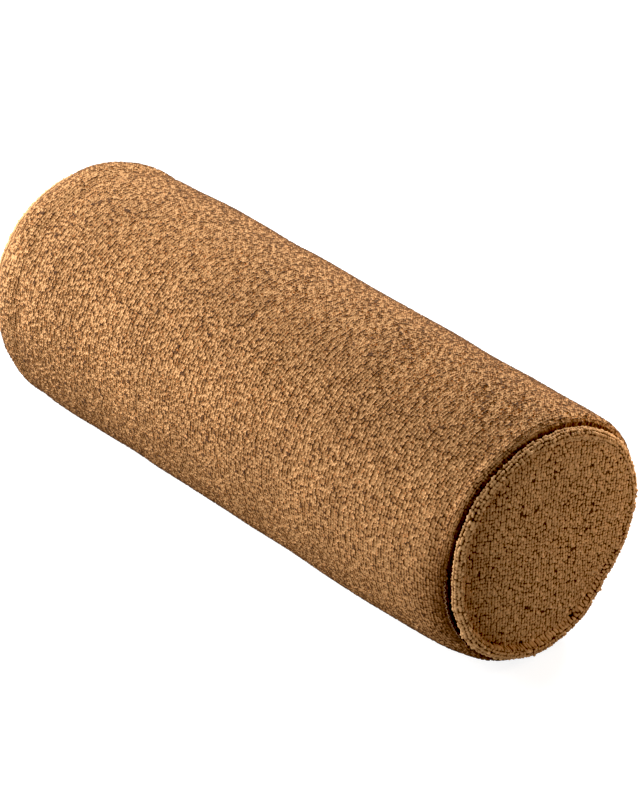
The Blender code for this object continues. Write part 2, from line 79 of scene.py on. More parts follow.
TAPE_INNER_EDGE = 3.2 * MM
TAPE_OUTER_EDGE = 16 * MM
TAPE_HALF_LENGTH = 212 * MM
TAPES_MEET = 195.5 * MM  # past the top stops the two tapes are drawn together
TAPES_PART = 185.5 * MM  # and past the bottom stop, on the other side
TEETH_LOW = 100.4 * MM
TEETH_HIGH = 102.4 * MM
TOOTH_PITCH = 4 * MM
TOOTH_CENTRE = 0.75 * MM  # from the start of a tooth to its middle
CHAIN_START = -181.5 * MM
CHAIN_END = 186.9 * MM
CHAIN_EDGE = 2.9 * MM
STITCH_Y = 9 * MM  # distance of each row of stitches from the middle of the zip
STITCH_PITCH = 6 * MM
STITCH_HALF_RUN = 198 * MM
CASING_RADIUS = half_width("insert_casing")
CASING_END = {1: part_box("insert_end_right")[1][0], -1: -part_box("insert_end_left")[0][0]}
CASING_ROUNDING = {1: 24 * MM, -1: 62 * MM}
CASING_SEAM_RADIUS = 88 * MM
CASING_FLANGE = 6 * MM
CASING_WALL = 0.6 * MM
CASING_GRID = 1.6 * MM
FILLING_GRID = 2 * MM
LABEL_X = -223.5 * MM
LABEL_WIDTH = 25 * MM
LABEL_LENGTH = 38 * MM
LABEL_HALF_WALL = 0.22 * MM
THREAD = 0.8 * MM
THREAD_PLY = THREAD / 2 - 0.1 * MM  # radius of a seam's thread, pressed by the cloth
STITCH_THREAD = 0.6 * THREAD  # radius of the stout thread beside the zip
LABEL_THREAD = 0.25 * MM

# ---------------------------------------------------------------- the cloth

GRID_ALONG = 0.50 * MM  # spacing of the fine cloth surface, across its rows of loops
GRID_AROUND = 0.60 * MM  # and along them
CLOTH_LEVEL = 0.8 * MM  # the ground of the cloth lies this far under the cover's outer radius
LOOP_HEIGHT = 1.95 * MM
ROW_PITCH = 2.85 * MM
LOOP_PITCH = 2.5 * MM
LOOP_HALF_LENGTH = 0.62 * LOOP_PITCH
LOOP_HALF_WIDTH = 0.54 * ROW_PITCH
LOOP_ROUNDNESS = 0.7  # 1 is a pointed dome, less is a fuller one
ASTRAY_ALONG = 0.5  # how far loops stray from even places, in pitches
ASTRAY_ACROSS = 0.36
ASTRAY_TURN = 0.5  # in radians
BARE_PATCH = 4.5 * MM  # size of the places where loops are missing
SOFT_SEAM_TONE = 0.5  # tone of the cloth where it turns into the left seam, as a height of loop; it keeps the painted shade of the flattened loops off that seam
FUZZ_HEIGHT = 0.12 * MM
FUZZ_SIZE = 1.3 * MM
LIP_SIZE = 4.4 * MM  # radius of the rolled seam that stands round the right end
LIP_STANDS = 1.5 * MM  # how far the top of that roll stands past the frame's end
FACE_DEPTH = 8.0 * MM  # how far the right end's face lies under the top of its rolled seam
FACE_TILT = 1.5 * MM  # how much deeper it lies at the front than in the middle
FOLD = 1.2 * MM  # radius of the cloth's fold beside the zip
HEM = 9 * MM  # how far the cloth is turned in there
STITCH_CHANNEL = 1.3 * MM  # width of the groove that the zip's stitches press into the cloth
SEAM_DEPTH = 9 * MM  # how far the right seam draws the tube in where it pulls hardest
SEAM_REACH = 24 * MM  # and how far from the seam that is felt
RIM_REACH = 70 * MM  # how far from the right end the tube is as out of round as its rim
PUCKER_REACH = 16 * MM  # how far from the right seam the tube is puckered and drawn to it
TUBE_SOFTNESS = 0.6  # the share of the simulated shifts that is kept
END_SOFTNESS = 0.5  # and on the end panels
PAINTED_TUCK_REACH = 25 * MM  # how far the painted shadow of the right seam's tuck spreads over the tube's colour
PAINTED_TUCK_SHADE = 0.97  # and how deep that painted shadow is where the seam pulls hardest
EDGE_DIP = 3.2 * MM  # how far the tube's last millimetres turn down into the right seam
LEFT_END_IN = 0.8 * MM  # how far the left end panel is pushed into its seam
SIM_GRID = 7 * MM
SIM_COLUMNS = 92
SIM_CAP = 4 * MM  # no point of the simulated cloth moves further
SIM_FRAMES = 20

# Where the filling stands fuller or slacker: place along the pillow, angle round it in degrees,
# height, reach along it and spread round it in degrees
FULLNESS = (
    (-120 * MM, 48, 3.5 * MM, 110 * MM, 35),
    (-150 * MM, 235, 5 * MM, 150 * MM, 28),
    (150 * MM, 235, 6 * MM, 150 * MM, 28),
    (0 * MM, 308, 5 * MM, 300 * MM, 28),
)


def smoothstep(low, high, value):
    """0 before low, 1 past high, smooth between; low may be the larger one."""
    share = np.clip((value - low) / (high - low), 0.0, 1.0)
    return share * share * (3 - 2 * share)


def bell(distance, reach):
    """A smooth hump, 1 high, that is nearly gone at twice its reach."""
    return np.exp(-((distance / reach) ** 2))


def half_turns(angle):
    """An angle brought between minus and plus half a turn."""
    return (angle + math.pi) % math.tau - math.pi


def chance(i, j, seed):
    """A repeatable random number from 0 to 1 for each pair of whole numbers."""
    mixed = (
        np.asarray(i).astype(np.int64) * 374761393
        + np.asarray(j).astype(np.int64) * 668265263
        + seed * 974634777
    ).astype(np.uint32)
    with np.errstate(over="ignore"):
        mixed = (mixed ^ (mixed >> np.uint32(13))) * np.uint32(1274126177)
    mixed = mixed ^ (mixed >> np.uint32(16))
    return (mixed & np.uint32(0xFFFFFF)) / float(0x1000000)


def noise(u, v, size, seed):
    """Smooth noise from -1 to 1 whose features are about one size across."""
    a = np.asarray(u) / size
    b = np.asarray(v) / size
    i = np.floor(a)
    j = np.floor(b)
    fa = a - i
    fb = b - j
    fa = fa * fa * (3 - 2 * fa)
    fb = fb * fb * (3 - 2 * fb)
    low = chance(i, j, seed) * (1 - fa) + chance(i + 1, j, seed) * fa
    high = chance(i, j + 1, seed) * (1 - fa) + chance(i + 1, j + 1, seed) * fa
    return 2 * (low * (1 - fb) + high * fb) - 1


def layered(u, v, seed, layers):
    """Noises of (height, size) pairs, added up."""
    total = 0.0
    for number, (height, size) in enumerate(layers):
        total = total + height * noise(u, v, size, seed + number)
    return total


def astray(column, row, seed, reach):
    """A random distance of up to half the reach to either side."""
    return reach * (chance(column, row, seed) - 0.5)


def loop_yarn(u, v, seed):
    """Height and tint, 0 to 1, of the yarn loops that stand in rows along u.

    A few loops stand out of the rest, and some are missing, mostly in small groups.
    """
    row0 = np.floor(v / ROW_PITCH)
    height = np.zeros_like(u)
    tint = np.full_like(u, 0.5)
    for row_step in (-1, 0, 1):
        row = row0 + row_step
        shift = chance(row, row * 0, seed) * LOOP_PITCH
        column0 = np.floor((u - shift) / LOOP_PITCH)
        for column_step in (-1, 0, 1):
            column = column0 + column_step
            centre_u = (column + 0.5 + astray(column, row, seed + 1, ASTRAY_ALONG)) * LOOP_PITCH
            centre_v = (row + 0.5 + astray(column, row, seed + 2, ASTRAY_ACROSS)) * ROW_PITCH
            turn = astray(column, row, seed + 3, ASTRAY_TURN)
            du = u - shift - centre_u
            dv = v - centre_v
            along = du * np.cos(turn) + dv * np.sin(turn)
            across = dv * np.cos(turn) - du * np.sin(turn)
            size = 1 + astray(column, row, seed + 4, 0.3)
            distance = (along / (LOOP_HALF_LENGTH * size)) ** 2
            distance = distance + (across / (LOOP_HALF_WIDTH * size)) ** 2
            luck = chance(column, row, seed + 5)
            rise = 0.52 + 0.4 * luck + 0.35 * smoothstep(0.9, 1.0, luck)
            bare = smoothstep(0.78, 0.92, noise(centre_u, centre_v, BARE_PATCH, seed + 6))
            missing = chance(column, row, seed + 7) < 0.01 + 0.55 * bare
            rise = np.where(missing, 0.1, rise)
            dome = rise * np.clip(1 - distance, 0.0, 1.0) ** LOOP_ROUNDNESS
            better = dome > height
            height = np.where(better, dome, height)
            tint = np.where(better, chance(column, row, seed + 8), tint)
    return height, tint


# ---------------------------------------------------------------- meshes from grids of points


def normals_of(points, wrap):
    """Unit normals of a grid of points, rows by columns, by differences of neighbours."""
    along = np.gradient(points, axis=0)
    if wrap:
        around = (np.roll(points, -1, axis=1) - np.roll(points, 1, axis=1)) / 2
    else:
        around = np.gradient(points, axis=1)
    normal = np.cross(around, along)
    length = np.linalg.norm(normal, axis=2, keepdims=True)
    return normal / np.maximum(length, 1e-12)


def grid_faces(rows, columns, wrap):
    last = columns if wrap else columns - 1
    row = np.arange(rows - 1)[:, None] * columns
    one = np.arange(last)[None, :]
    two = (one + 1) % columns
    faces = np.stack([row + one, row + two, row + columns + two, row + columns + one], axis=2)
    return faces.reshape(-1, 4)


def grid_piece(name, points, wrap, values=None, flip=False):
    """An object whose mesh is a grid of points; values are numbers stored on its points.

    A stack of equal grids makes one object of separate parts.
    """
    if points.ndim == 3:
        points = points[None]
    count, rows, columns = points.shape[:3]
    faces = grid_faces(rows, columns, wrap)
    if flip:
        faces = faces[:, ::-1]
    faces = np.concatenate([faces + number * rows * columns for number in range(count)])
    mesh = bpy.data.meshes.new(name)
    mesh.vertices.add(count * rows * columns)
    mesh.vertices.foreach_set("co", points.reshape(-1).astype(np.float32))
    mesh.loops.add(faces.size)
    mesh.loops.foreach_set("vertex_index", faces.reshape(-1).astype(np.int32))
    mesh.polygons.add(len(faces))
    mesh.polygons.foreach_set("loop_start", np.arange(0, faces.size, 4, dtype=np.int32))
    mesh.update(calc_edges=True)
    for key, numbers in (values or {}).items():
        layer = mesh.attributes.new(key, "FLOAT", "POINT")
        layer.data.foreach_set("value", numbers.reshape(-1).astype(np.float32))
    mesh.shade_smooth()
    mesh.validate()
    return add_object(name, mesh)


def places_of(mesh):
    """The places of a mesh's points, one row each."""
    places = np.empty(len(mesh.vertices) * 3)
    mesh.vertices.foreach_get("co", places)
    return places.reshape(-1, 3)


def add_object(name, data):
    made = bpy.data.objects.new(name, data)
    bpy.context.scene.collection.objects.link(made)
    return made


def even_turns(count):
    return np.arange(count) * math.tau / count


def about_axis(x, radius, turn):
    """Points at a distance and an angle round the pillow's axis."""
    x, radius, turn = np.broadcast_arrays(x, radius, turn)
    return np.stack([x, radius * np.cos(turn), AXIS_Z + radius * np.sin(turn)], axis=-1)


def evenly(outline, spacing):
    """Points spaced evenly along an outline of (x, radius) points, and their distance along it."""
    outline = np.array(outline)
    steps = np.linalg.norm(np.diff(outline, axis=0), axis=1)
    travelled = np.concatenate([[0.0], np.cumsum(steps)])
    count = max(int(round(travelled[-1] / spacing)), 1) + 1
    at = np.linspace(0.0, travelled[-1], count)
    x = np.interp(at, travelled, outline[:, 0])
    r = np.interp(at, travelled, outline[:, 1])
    return x, r, at


def arc(centre_x, centre_r, radius, start, stop, steps):
    """Points of an arc; angle 0 points away from the axis and a right angle towards +X."""
    angles = np.linspace(start, stop, steps + 1)
    return [(centre_x + radius * math.sin(a), centre_r + radius * math.cos(a)) for a in angles]


# ---------------------------------------------------------------- the pillow's outline


RIGHT_CENTRE = (RIGHT_X - RIGHT_ROUNDING, RADIUS - RIGHT_ROUNDING)
LEFT_CENTRE = (LEFT_X + LEFT_ROUNDING, RADIUS - LEFT_ROUNDING)


def seam_angle(rounding):
    return math.acos((SEAM_RADIUS - RADIUS + rounding) / rounding)


def tube_outline():
    """From the left seam to the right seam, over the outside of the tube."""
    left = arc(*LEFT_CENTRE, LEFT_ROUNDING, -seam_angle(LEFT_ROUNDING), 0.0, 24)
    right = arc(*RIGHT_CENTRE, RIGHT_ROUNDING, 0.0, seam_angle(RIGHT_ROUNDING), 24)
    return left + right


def turned_in(outline, fold):
    """Adds the folds and flanges that turn into the seams to both ends of the tube."""
    left_x, left_r = outline[0]
    right_x, right_r = outline[-1]
    start = [(left_x + FLANGE_DEPTH, left_r - fold), (left_x + 0.4 * fold, left_r - fold)]
    stop = [(right_x - 0.4 * fold, right_r - fold), (right_x - FLANGE_DEPTH, right_r - fold)]
    return start + outline + stop


# ---------------------------------------------------------------- cloth simulation


def form_stations():
    """Rings of the closed pillow as (x, radius): of its left face, its tube and its right face."""
    x, r, _ = evenly(tube_outline(), SIM_GRID)
    panel_steps = int(round(SEAM_RADIUS / SIM_GRID))
    right_face = []
    left_face = []
    for k in range(1, panel_steps):
        face_r = SEAM_RADIUS * (1 - k / panel_steps)
        over = max(face_r - LEFT_CENTRE[1], 0.0)
        right_face.append((RIGHT_X - 1 * MM, face_r))
        left_face.append((LEFT_CENTRE[0] - math.sqrt(LEFT_ROUNDING**2 - over**2), face_r))
    return left_face[::-1], list(zip(x, r)), right_face


def form_mesh(stations):
    """The closed pillow on its rings, with a tip in the middle of each face."""
    turns = even_turns(SIM_COLUMNS)
    count = len(stations)
    mesh = bpy.data.meshes.new("form")
    verts = [
        (px, pr * math.cos(t), AXIS_Z + pr * math.sin(t)) for px, pr in stations for t in turns
    ]
    faces = grid_faces(count, SIM_COLUMNS, True).tolist()
    verts.append((stations[0][0], 0.0, AXIS_Z))
    verts.append((stations[-1][0], 0.0, AXIS_Z))
    left_tip = len(verts) - 2
    right_tip = len(verts) - 1
    last = (count - 1) * SIM_COLUMNS
    for k in range(SIM_COLUMNS):
        after = (k + 1) % SIM_COLUMNS
        faces.append((left_tip, after, k))
        faces.append((right_tip, last + k, last + after))
    mesh.from_pydata(verts, [], faces)
    return mesh


def simulate_form():
    """Inflates the closed pillow as cloth whose seams are held, and returns how its points move.

    The result is three grids of shifts, along the axis, outwards and around: one for the tube,
    and one for each end panel from its seam inwards, on even stations.
    """
    left_face, rows, right_face = form_stations()
    stations = left_face + rows + right_face
    shift = len(left_face)
    mesh = form_mesh(stations)
    form = add_object("form", mesh)
    held = form.vertex_groups.new(name="seams")
    for row in (0, len(rows) - 1):
        start = (row + shift) * SIM_COLUMNS
        held.add(list(range(start, start + SIM_COLUMNS)), 1.0, "REPLACE")
    rest = places_of(mesh)
    cloth = form.modifiers.new("cloth", "CLOTH").settings
    cloth.quality = 5
    cloth.mass = 0.4
    cloth.tension_stiffness = 25
    cloth.compression_stiffness = 15
    cloth.shear_stiffness = 5
    cloth.bending_stiffness = 0.2
    cloth.use_pressure = True
    cloth.uniform_pressure_force = 4
    cloth.shrink_min = -0.02
    cloth.vertex_group_mass = "seams"
    cloth.effector_weights.gravity = 0
    scene = bpy.context.scene
    for number in range(1, SIM_FRAMES + 1):
        scene.frame_set(number)
    depsgraph = bpy.context.evaluated_depsgraph_get()
    moved = places_of(form.evaluated_get(depsgraph).to_mesh())
    scene.frame_set(1)
    bpy.data.objects.remove(form, do_unlink=True)
    turns = even_turns(SIM_COLUMNS)
    delta = (moved - rest)[:-2].reshape(len(stations), SIM_COLUMNS, 3)
    outward = delta[:, :, 1] * np.cos(turns) + delta[:, :, 2] * np.sin(turns)
    around = delta[:, :, 2] * np.cos(turns) - delta[:, :, 1] * np.sin(turns)
    shifts = np.stack([delta[:, :, 0], outward, around], axis=2)
    size = np.linalg.norm(shifts, axis=2, keepdims=True)
    shifts *= SIM_CAP * np.tanh(size / SIM_CAP) / np.maximum(size, 1e-9)
    tube = shifts[shift : shift + len(rows)]
    left = shifts[: shift + 1][::-1]
    right = shifts[shift + len(rows) - 1 :]
    return {"tube": tube, "left": left, "right": right}


def spline(grid, share, turn):
    """Smooth values of a grid at shares 0 to 1 down its rows and angles round its columns."""
    rows, columns = grid.shape[:2]
    a = np.clip(share, 0.0, 1.0) * (rows - 1)
    b = (turn / math.tau) % 1.0 * columns
    i = np.floor(a).astype(int)
    j = np.floor(b).astype(int)
    total = np.zeros(a.shape + (grid.shape[2],))
    for k, weight_a in enumerate(cubic_weights(a - i)):
        row = np.clip(i + k - 1, 0, rows - 1)
        for m, weight_b in enumerate(cubic_weights(b - j)):
            column = (j + m - 1) % columns
            total += (weight_a * weight_b)[..., None] * grid[row, column]
    return total


def cubic_weights(f):
    """Weights of the four neighbours for a smooth curve through even samples."""
    return (
        (1 - f) ** 3 / 6,
        (3 * f**3 - 6 * f**2 + 4) / 6,
        (-3 * f**3 + 3 * f**2 + 3 * f + 1) / 6,
        f**3 / 6,
    )


# ---------------------------------------------------------------- how the filled cover lies


def seam_pull(turn):
    """How deep the right seam pulls the tube in, most at the front left of the end."""
    return hill(turn, 200, 50)


def hill(turn, angle, spread):
    """A smooth hump round the pillow, 1 high, about an angle in degrees."""
    return bell(half_turns(turn - math.radians(angle)), math.radians(spread))


def right_rim(turn):
    """How far the right end's rim stands out of or inside a true circle."""
    return (
        -12.0 * MM * hill(turn, 326, 36)
        - 2.5 * MM * hill(turn, 62, 30)
        + 1.5 * MM * hill(turn, 215, 35)
    )


def lip_raised(turn):
    """How much further out the lip and the tube's edge stand at the upper front of the end."""
    return 4.0 * MM * hill(turn, 143, 32)


def seam_closed(turn):
    """1 where the right seam is drawn shut, 0 where its groove gapes at the upper front."""
    return 1 - hill(turn, 160, 68)


def lie_of_tube(x, turn, shifts, share):
    """Outward and axial shifts of the tube: simulated form, soft dents and seam puckers."""
    soft = spline(shifts["tube"], share, turn)
    around = turn * RADIUS
    outward = soft[..., 1] * TUBE_SOFTNESS
    outward = outward + layered(around, x, 21, ((1.6 * MM, 95 * MM), (0.8 * MM, 40 * MM)))
    from_right = np.clip(RIGHT_X - 4 * MM - x, 0.0, None)
    from_left = np.clip(x - LEFT_X - 30 * MM, 0.0, None)
    pull = seam_pull(turn)
    shoulder = smoothstep(0.0, 6 * MM, from_right) * bell(from_right, SEAM_REACH)
    outward = outward - (0.5 * MM + SEAM_DEPTH * pull) * shoulder
    outward = outward + right_rim(turn) * bell(from_right, RIM_REACH)
    gathers = layered(around, x * 0.25, 23, ((1.0, 17 * MM), (0.6, 9 * MM)))
    last = smoothstep(20 * MM, 5 * MM, from_right)
    outward = outward + 1.2 * lip_raised(turn) * last
    outward = outward - EDGE_DIP * (1 - smoothstep(0.0, 4 * MM, from_right))
    near_seam = np.exp(-from_right / PUCKER_REACH) * smoothstep(0.0, 5 * MM, from_right)
    outward = outward + 1.6 * MM * (0.4 + pull) * gathers * near_seam
    outward = outward + 1.0 * MM * gathers * np.exp(-from_left / (20 * MM))
    for place, angle, height, reach, spread in FULLNESS:
        outward = outward + height * bell(x - place, reach) * hill(turn, angle, spread)
    drawn_in = (1.3 * MM + 4.5 * MM * pull) * np.exp(-from_right / PUCKER_REACH)
    return outward, soft[..., 0] * TUBE_SOFTNESS - drawn_in


def lie_of_cover(x, turn, shifts, share):
    """As lie_of_tube, but calm beside the zip and under the label. Also how near the zip is."""
    outward, axial = lie_of_tube(x, turn, shifts, share)
    near_zip = np.abs(half_turns(turn - ZIP_ANGLE)) * RADIUS
    label = under_label(x, turn)
    calm = smoothstep(10 * MM, 45 * MM, near_zip - 40 * MM * label)
    in_slot = 1 - smoothstep(SLOT_HALF_LENGTH + 14 * MM, SLOT_HALF_LENGTH + 44 * MM, np.abs(x))
    outward = outward * (1 - (1 - calm) * np.maximum(in_slot, label))
    return outward, axial, near_zip


def under_label(x, turn):
    """1 where the care label lies on the cover, fading to 0 round it."""
    aside = np.abs(x - LABEL_X) - LABEL_WIDTH / 2
    below = half_turns(ZIP_ANGLE - turn) * RADIUS
    fade = smoothstep(40 * MM, 70 * MM, np.abs(below - 15 * MM))
    return (1 - smoothstep(4 * MM, 20 * MM, aside)) * (1 - fade)


def settle(points):
    """Presses what would lie under the ground flat, with a soft shoulder."""
    z = points[..., 2]
    soft = 3 * MM
    low = z < soft
    points[..., 2] = np.where(low, soft * np.exp(np.clip(z / soft - 1, -40, 0)), z)
    return points


def back_opening(x):
    """Half width of the gap between the tube's two long edges."""
    end = SLOT_HALF_LENGTH + 2 * MM
    past = smoothstep(end - SLOT_END_TAPER, end, np.abs(x))
    return SLOT_HALF_WIDTH + (BACK_SEAM_HALF_WIDTH - SLOT_HALF_WIDTH) * past


def turned_hem():
    """The hem beside the zip: (distance from the cloth's folded edge, depth under its top)."""
    hem = [(HEM, 2.2 * FOLD), (2.5 * FOLD, 2.2 * FOLD), (FOLD, 2 * FOLD)]
    for k in range(1, 4):
        angle = math.pi * (1 - k / 4)
        hem.append((FOLD - FOLD * math.sin(angle), FOLD - FOLD * math.cos(angle)))
    return np.array(hem)


def build_tube(shifts):
    """The sheet of boucle round the pillow, from its hem above the zip to its hem below it."""
    x, r, along = evenly(turned_in(tube_outline(), 1.0 * MM), GRID_ALONG)
    count = int(math.tau * RADIUS / GRID_AROUND)
    hem_inset, hem_depth = turned_hem().T
    even = np.linspace(0.0, 1.0, count)
    zeros = np.zeros(len(hem_inset))
    side = np.concatenate([zeros, even, zeros + 1.0])
    inset = np.concatenate([hem_inset, even * 0 + FOLD, hem_inset[::-1]])
    depth = np.concatenate([hem_depth, even * 0, hem_depth[::-1]])
    opening = back_opening(x)[:, None]
    from_edge = np.arcsin((opening + inset[None, :]) / RADIUS)
    turn = ZIP_ANGLE + from_edge + (math.tau - 2 * from_edge) * side[None, :]
    wide_x = np.broadcast_to(x[:, None], turn.shape)
    travelled = FLANGE_DEPTH + 1 * MM
    share = (along - travelled) / (along[-1] - 2 * travelled)
    share = np.broadcast_to(share[:, None], turn.shape)
    outward, axial, near_zip = lie_of_cover(wide_x, turn, shifts, share)
    hem_fade = np.where(depth > 2 * FOLD, 0.0, 1.0)[None, :]
    radius = r[:, None] - CLOTH_LEVEL - depth[None, :] + outward
    ground = about_axis(wide_x + axial, radius, turn)
    normal = -normals_of(ground, wrap=False)
    height, tint = loop_yarn(turn * RADIUS, along[:, None] + 0 * turn, 100)
    stitched = 1 - smoothstep(STITCH_HALF_RUN, STITCH_HALF_RUN + 4 * MM, np.abs(wide_x))
    channel = bell(near_zip - STITCH_Y, STITCH_CHANNEL) * stitched
    from_left = (along - travelled)[:, None]
    from_right = (along[-1] - travelled - along)[:, None]
    outside = smoothstep(-1.0 * MM, 0.8 * MM, np.minimum(from_left, from_right))
    height = height * (0.2 + 0.8 * outside)
    lift = LOOP_HEIGHT * height * hem_fade * (1 - 0.7 * channel)
    lift = lift - 0.5 * MM * channel
    fuzz = noise(turn * RADIUS, along[:, None] + 0 * turn, FUZZ_SIZE, 31)
    lift = lift + FUZZ_HEIGHT * fuzz * hem_fade
    points = settle(ground + normal * lift[..., None])
    # Painted shade in the tone: near black in the right seam's groove, and a painted shadow that
    # spreads over the tube from where the seam pulls hardest.
    tuck = bell(np.clip(from_right, 0.0, None), PAINTED_TUCK_REACH)
    painted_shade = smoothstep(0.0, 5.5 * MM, from_right) * (1 - PAINTED_TUCK_SHADE * seam_pull(turn) * tuck)
    left_seam = 1 - smoothstep(0.0, 3 * MM, from_left)
    tone = np.maximum(height * painted_shade, SOFT_SEAM_TONE * left_seam)
    values = {"loop": tone, "tint": tint}
    return grid_piece("boucle_tube", points, wrap=False, values=values, flip=True)


def right_outline():
    """The right end panel from its middle to its flange, with the rolled lip of the seam."""
    crest = RIGHT_X + LIP_STANDS
    valley = crest - FACE_DEPTH
    valley_r = LIP_RADIUS - 2 * LIP_SIZE - 1.2 * MM
    outline = []
    for k in range(13):
        share = k / 12
        outline.append((valley + 0.8 * MM * (1 - share**2), valley_r * share))
    outline += arc(crest - LIP_SIZE, LIP_RADIUS - LIP_SIZE, LIP_SIZE, math.pi, -math.pi / 3, 22)
    under_x, under_r = outline[-1]
    outline.append((under_x - FLANGE_DEPTH, under_r - 0.3 * MM))
    return outline


def filled_dish(x, radius):
    """How far the right end's face bulges, at its rear and top, over the valley by the lip."""
    crest_r = LIP_RADIUS - LIP_SIZE
    share = np.clip(radius / crest_r, 0.0, 1.0)
    dish = RIGHT_X + LIP_STANDS - FACE_DEPTH + (FACE_DEPTH - 0.8 * MM) * share**2.2
    return np.where(radius < crest_r, np.clip(dish - x, 0.0, None), 0.0)


def left_outline():
    """The left end panel, strongly crowned, from its middle to its flange."""
    stop = math.acos((LIP_RADIUS - RADIUS + LEFT_ROUNDING) / LEFT_ROUNDING)
    outline = [(LEFT_X - 0.5 * MM, 0.0)]
    outline += arc(*LEFT_CENTRE, LEFT_ROUNDING, -math.pi / 2, -stop - 0.03, 24)
    edge_x = outline[-1][0]
    outline.append((edge_x + 1 * MM, LIP_RADIUS))
    outline.append((edge_x + FLANGE_DEPTH, LIP_RADIUS))
    return outline


def build_end(name, outline, shifts, side, seed, grain, rolled):
    """An end panel on rings of points; grain is the angle of its rows of loops.

    The outermost stretch of the panel, rolled wide, turns round the seam with its own rows.
    On the right the panel is a dish inside its rolled lip, which follows the tube's rim.
    """
    x, r, along = evenly(outline, GRID_ALONG)
    turns = even_turns(int(math.tau * LIP_RADIUS / GRID_AROUND))
    turn = np.broadcast_to(turns, (len(x), len(turns)))
    wide_r = np.broadcast_to(r[:, None], turn.shape)
    soft = spline(shifts, 1 - wide_r / LIP_RADIUS, turn)
    y = wide_r * np.cos(turn)
    z = wide_r * np.sin(turn)
    around = turn * LIP_RADIUS
    hollow = layered(y, z, seed + 1, ((1.2 * MM, 60 * MM), (0.5 * MM, 25 * MM)))
    wave = layered(around, turn * 0, seed + 3, ((0.9 * MM, 19 * MM), (0.5 * MM, 8 * MM)))
    inner = smoothstep(0.0, 25 * MM, LIP_RADIUS - wide_r)
    radius = wide_r * (1 + 0.004 * noise(around, turn * 0, 33 * MM, seed + 5))
    if side > 0:
        edge = right_rim(turn) + 1.7 * MM * seam_closed(turn) - 0.6 * MM * seam_pull(turn)
        radius = radius + (edge + lip_raised(turn)) * (wide_r / LIP_RADIUS) ** 2
    shift_x = soft[..., 0] * END_SOFTNESS + side * (hollow * inner + wave * (1 - inner))
    if side < 0:
        shift_x = shift_x + LEFT_END_IN
    else:
        inside = smoothstep(2 * LIP_SIZE, 2 * LIP_SIZE + 22 * MM, LIP_RADIUS - wide_r)
        shift_x = shift_x + FACE_TILT * inside * y / LIP_RADIUS
        shift_x = shift_x + filled_dish(x[:, None], wide_r) * hill(turn, 20, 80)
    ground = about_axis(x[:, None] + shift_x, radius, turn)
    normal = normals_of(ground, wrap=True) * -side
    normal[0] = (side, 0.0, 0.0)
    u = y * math.cos(grain) + z * math.sin(grain)
    v = z * math.cos(grain) - y * math.sin(grain)
    height, tint = loop_yarn(u, v, seed)
    around_height, around_tint = loop_yarn(around, along[:, None] + 0 * turn, seed + 50)
    on_rim = np.broadcast_to(along[:, None] > along[-1] - FLANGE_DEPTH - rolled, turn.shape)
    height = np.where(on_rim, around_height, height)
    tint = np.where(on_rim, around_tint, tint)
    bare = FLANGE_DEPTH + (0.5 * MM if side > 0 else -2.5 * MM)
    from_seam = along[-1] - along[:, None] - bare
    tucked = smoothstep(0.0, 3 * MM, from_seam)
    height = height * (0.25 + 0.75 * tucked)
    lift = LOOP_HEIGHT * height + FUZZ_HEIGHT * noise(u, v, FUZZ_SIZE, seed + 9) - CLOTH_LEVEL
    points = ground + normal * lift[..., None]
    points[0] = points[0].mean(axis=0)
    # Painted shade in the tone: on the right it goes near black in the seam's groove. On the left
    # it is held up, so the flattened loops paint no shade there.
    if side > 0:
        tone = height * smoothstep(0.0, 4 * MM, from_seam)
    else:
        tone = np.maximum(height, SOFT_SEAM_TONE * (1 - tucked))
    values = {"loop": tone, "tint": tint}
    piece = grid_piece(name, settle(points), wrap=True, values=values, flip=side > 0)
    weld(piece)
    return piece


def weld(piece, outward=False):
    """Makes one point of points that coincide, and turns a closed body's faces outward."""
    solid = bmesh.new()
    solid.from_mesh(piece.data)
    bmesh.ops.remove_doubles(solid, verts=solid.verts, dist=1e-6)
    bmesh.ops.dissolve_degenerate(solid, edges=solid.edges, dist=1e-7)
    if outward:
        bmesh.ops.recalc_face_normals(solid, faces=solid.faces)
    solid.to_mesh(piece.data)
    solid.free()
    piece.data.shade_smooth()
    piece.data.set_sharp_from_angle(angle=math.radians(60))


# ---------------------------------------------------------------- zip, threads and label


def zip_place(x, y, z):
    """Points of the zip's own frame: y runs down round the pillow, z away from its axis."""
    high = math.sin(ZIP_ANGLE)
    deep = math.cos(ZIP_ANGLE)
    x, y, z = np.broadcast_arrays(x, y, z)
    return np.stack([x, y * high + z * deep, AXIS_Z + z * high - y * deep], axis=-1)


def round_zip(x, out, angle):
    """Points at a distance from the pillow's axis and an angle below the middle of the zip."""
    return zip_place(x, out * np.sin(angle), out * np.cos(angle))


def strand(path, radius, closed=False):
    """A two-ply twisted thread along a path of points, as one grid of points."""
    step = np.linalg.norm(np.diff(path, axis=0), axis=1)
    travelled = np.concatenate([[0.0], np.cumsum(step)])
    if closed:
        along = (np.roll(path, -1, axis=0) - np.roll(path, 1, axis=0)) / 2
    else:
        along = np.gradient(path, axis=0)
    along /= np.linalg.norm(along, axis=1, keepdims=True)
    out = path - np.array([0.0, 0.0, AXIS_Z])
    out[:, 0] = 0.0
    aside = np.cross(along, out)
    aside /= np.linalg.norm(aside, axis=1, keepdims=True)
    out = np.cross(aside, along)
    angles = even_turns(10)
    twist = math.tau * travelled / (3.2 * radius * 2)
    size = radius * (0.78 + 0.22 * np.abs(np.cos(angles[None, :] - twist[:, None] / 2)))
    if not closed:
        ends = np.minimum(travelled, travelled[-1] - travelled)
        size = size * np.sqrt(np.clip(ends / radius, 0.02, 1.0))[:, None]
    aside_part = aside[:, None, :] * (size * np.cos(angles))[..., None]
    out_part = out[:, None, :] * (size * np.sin(angles))[..., None]
    points = path[:, None, :] + aside_part + out_part
    if closed:
        points = np.concatenate([points, points[:1]])
    return points


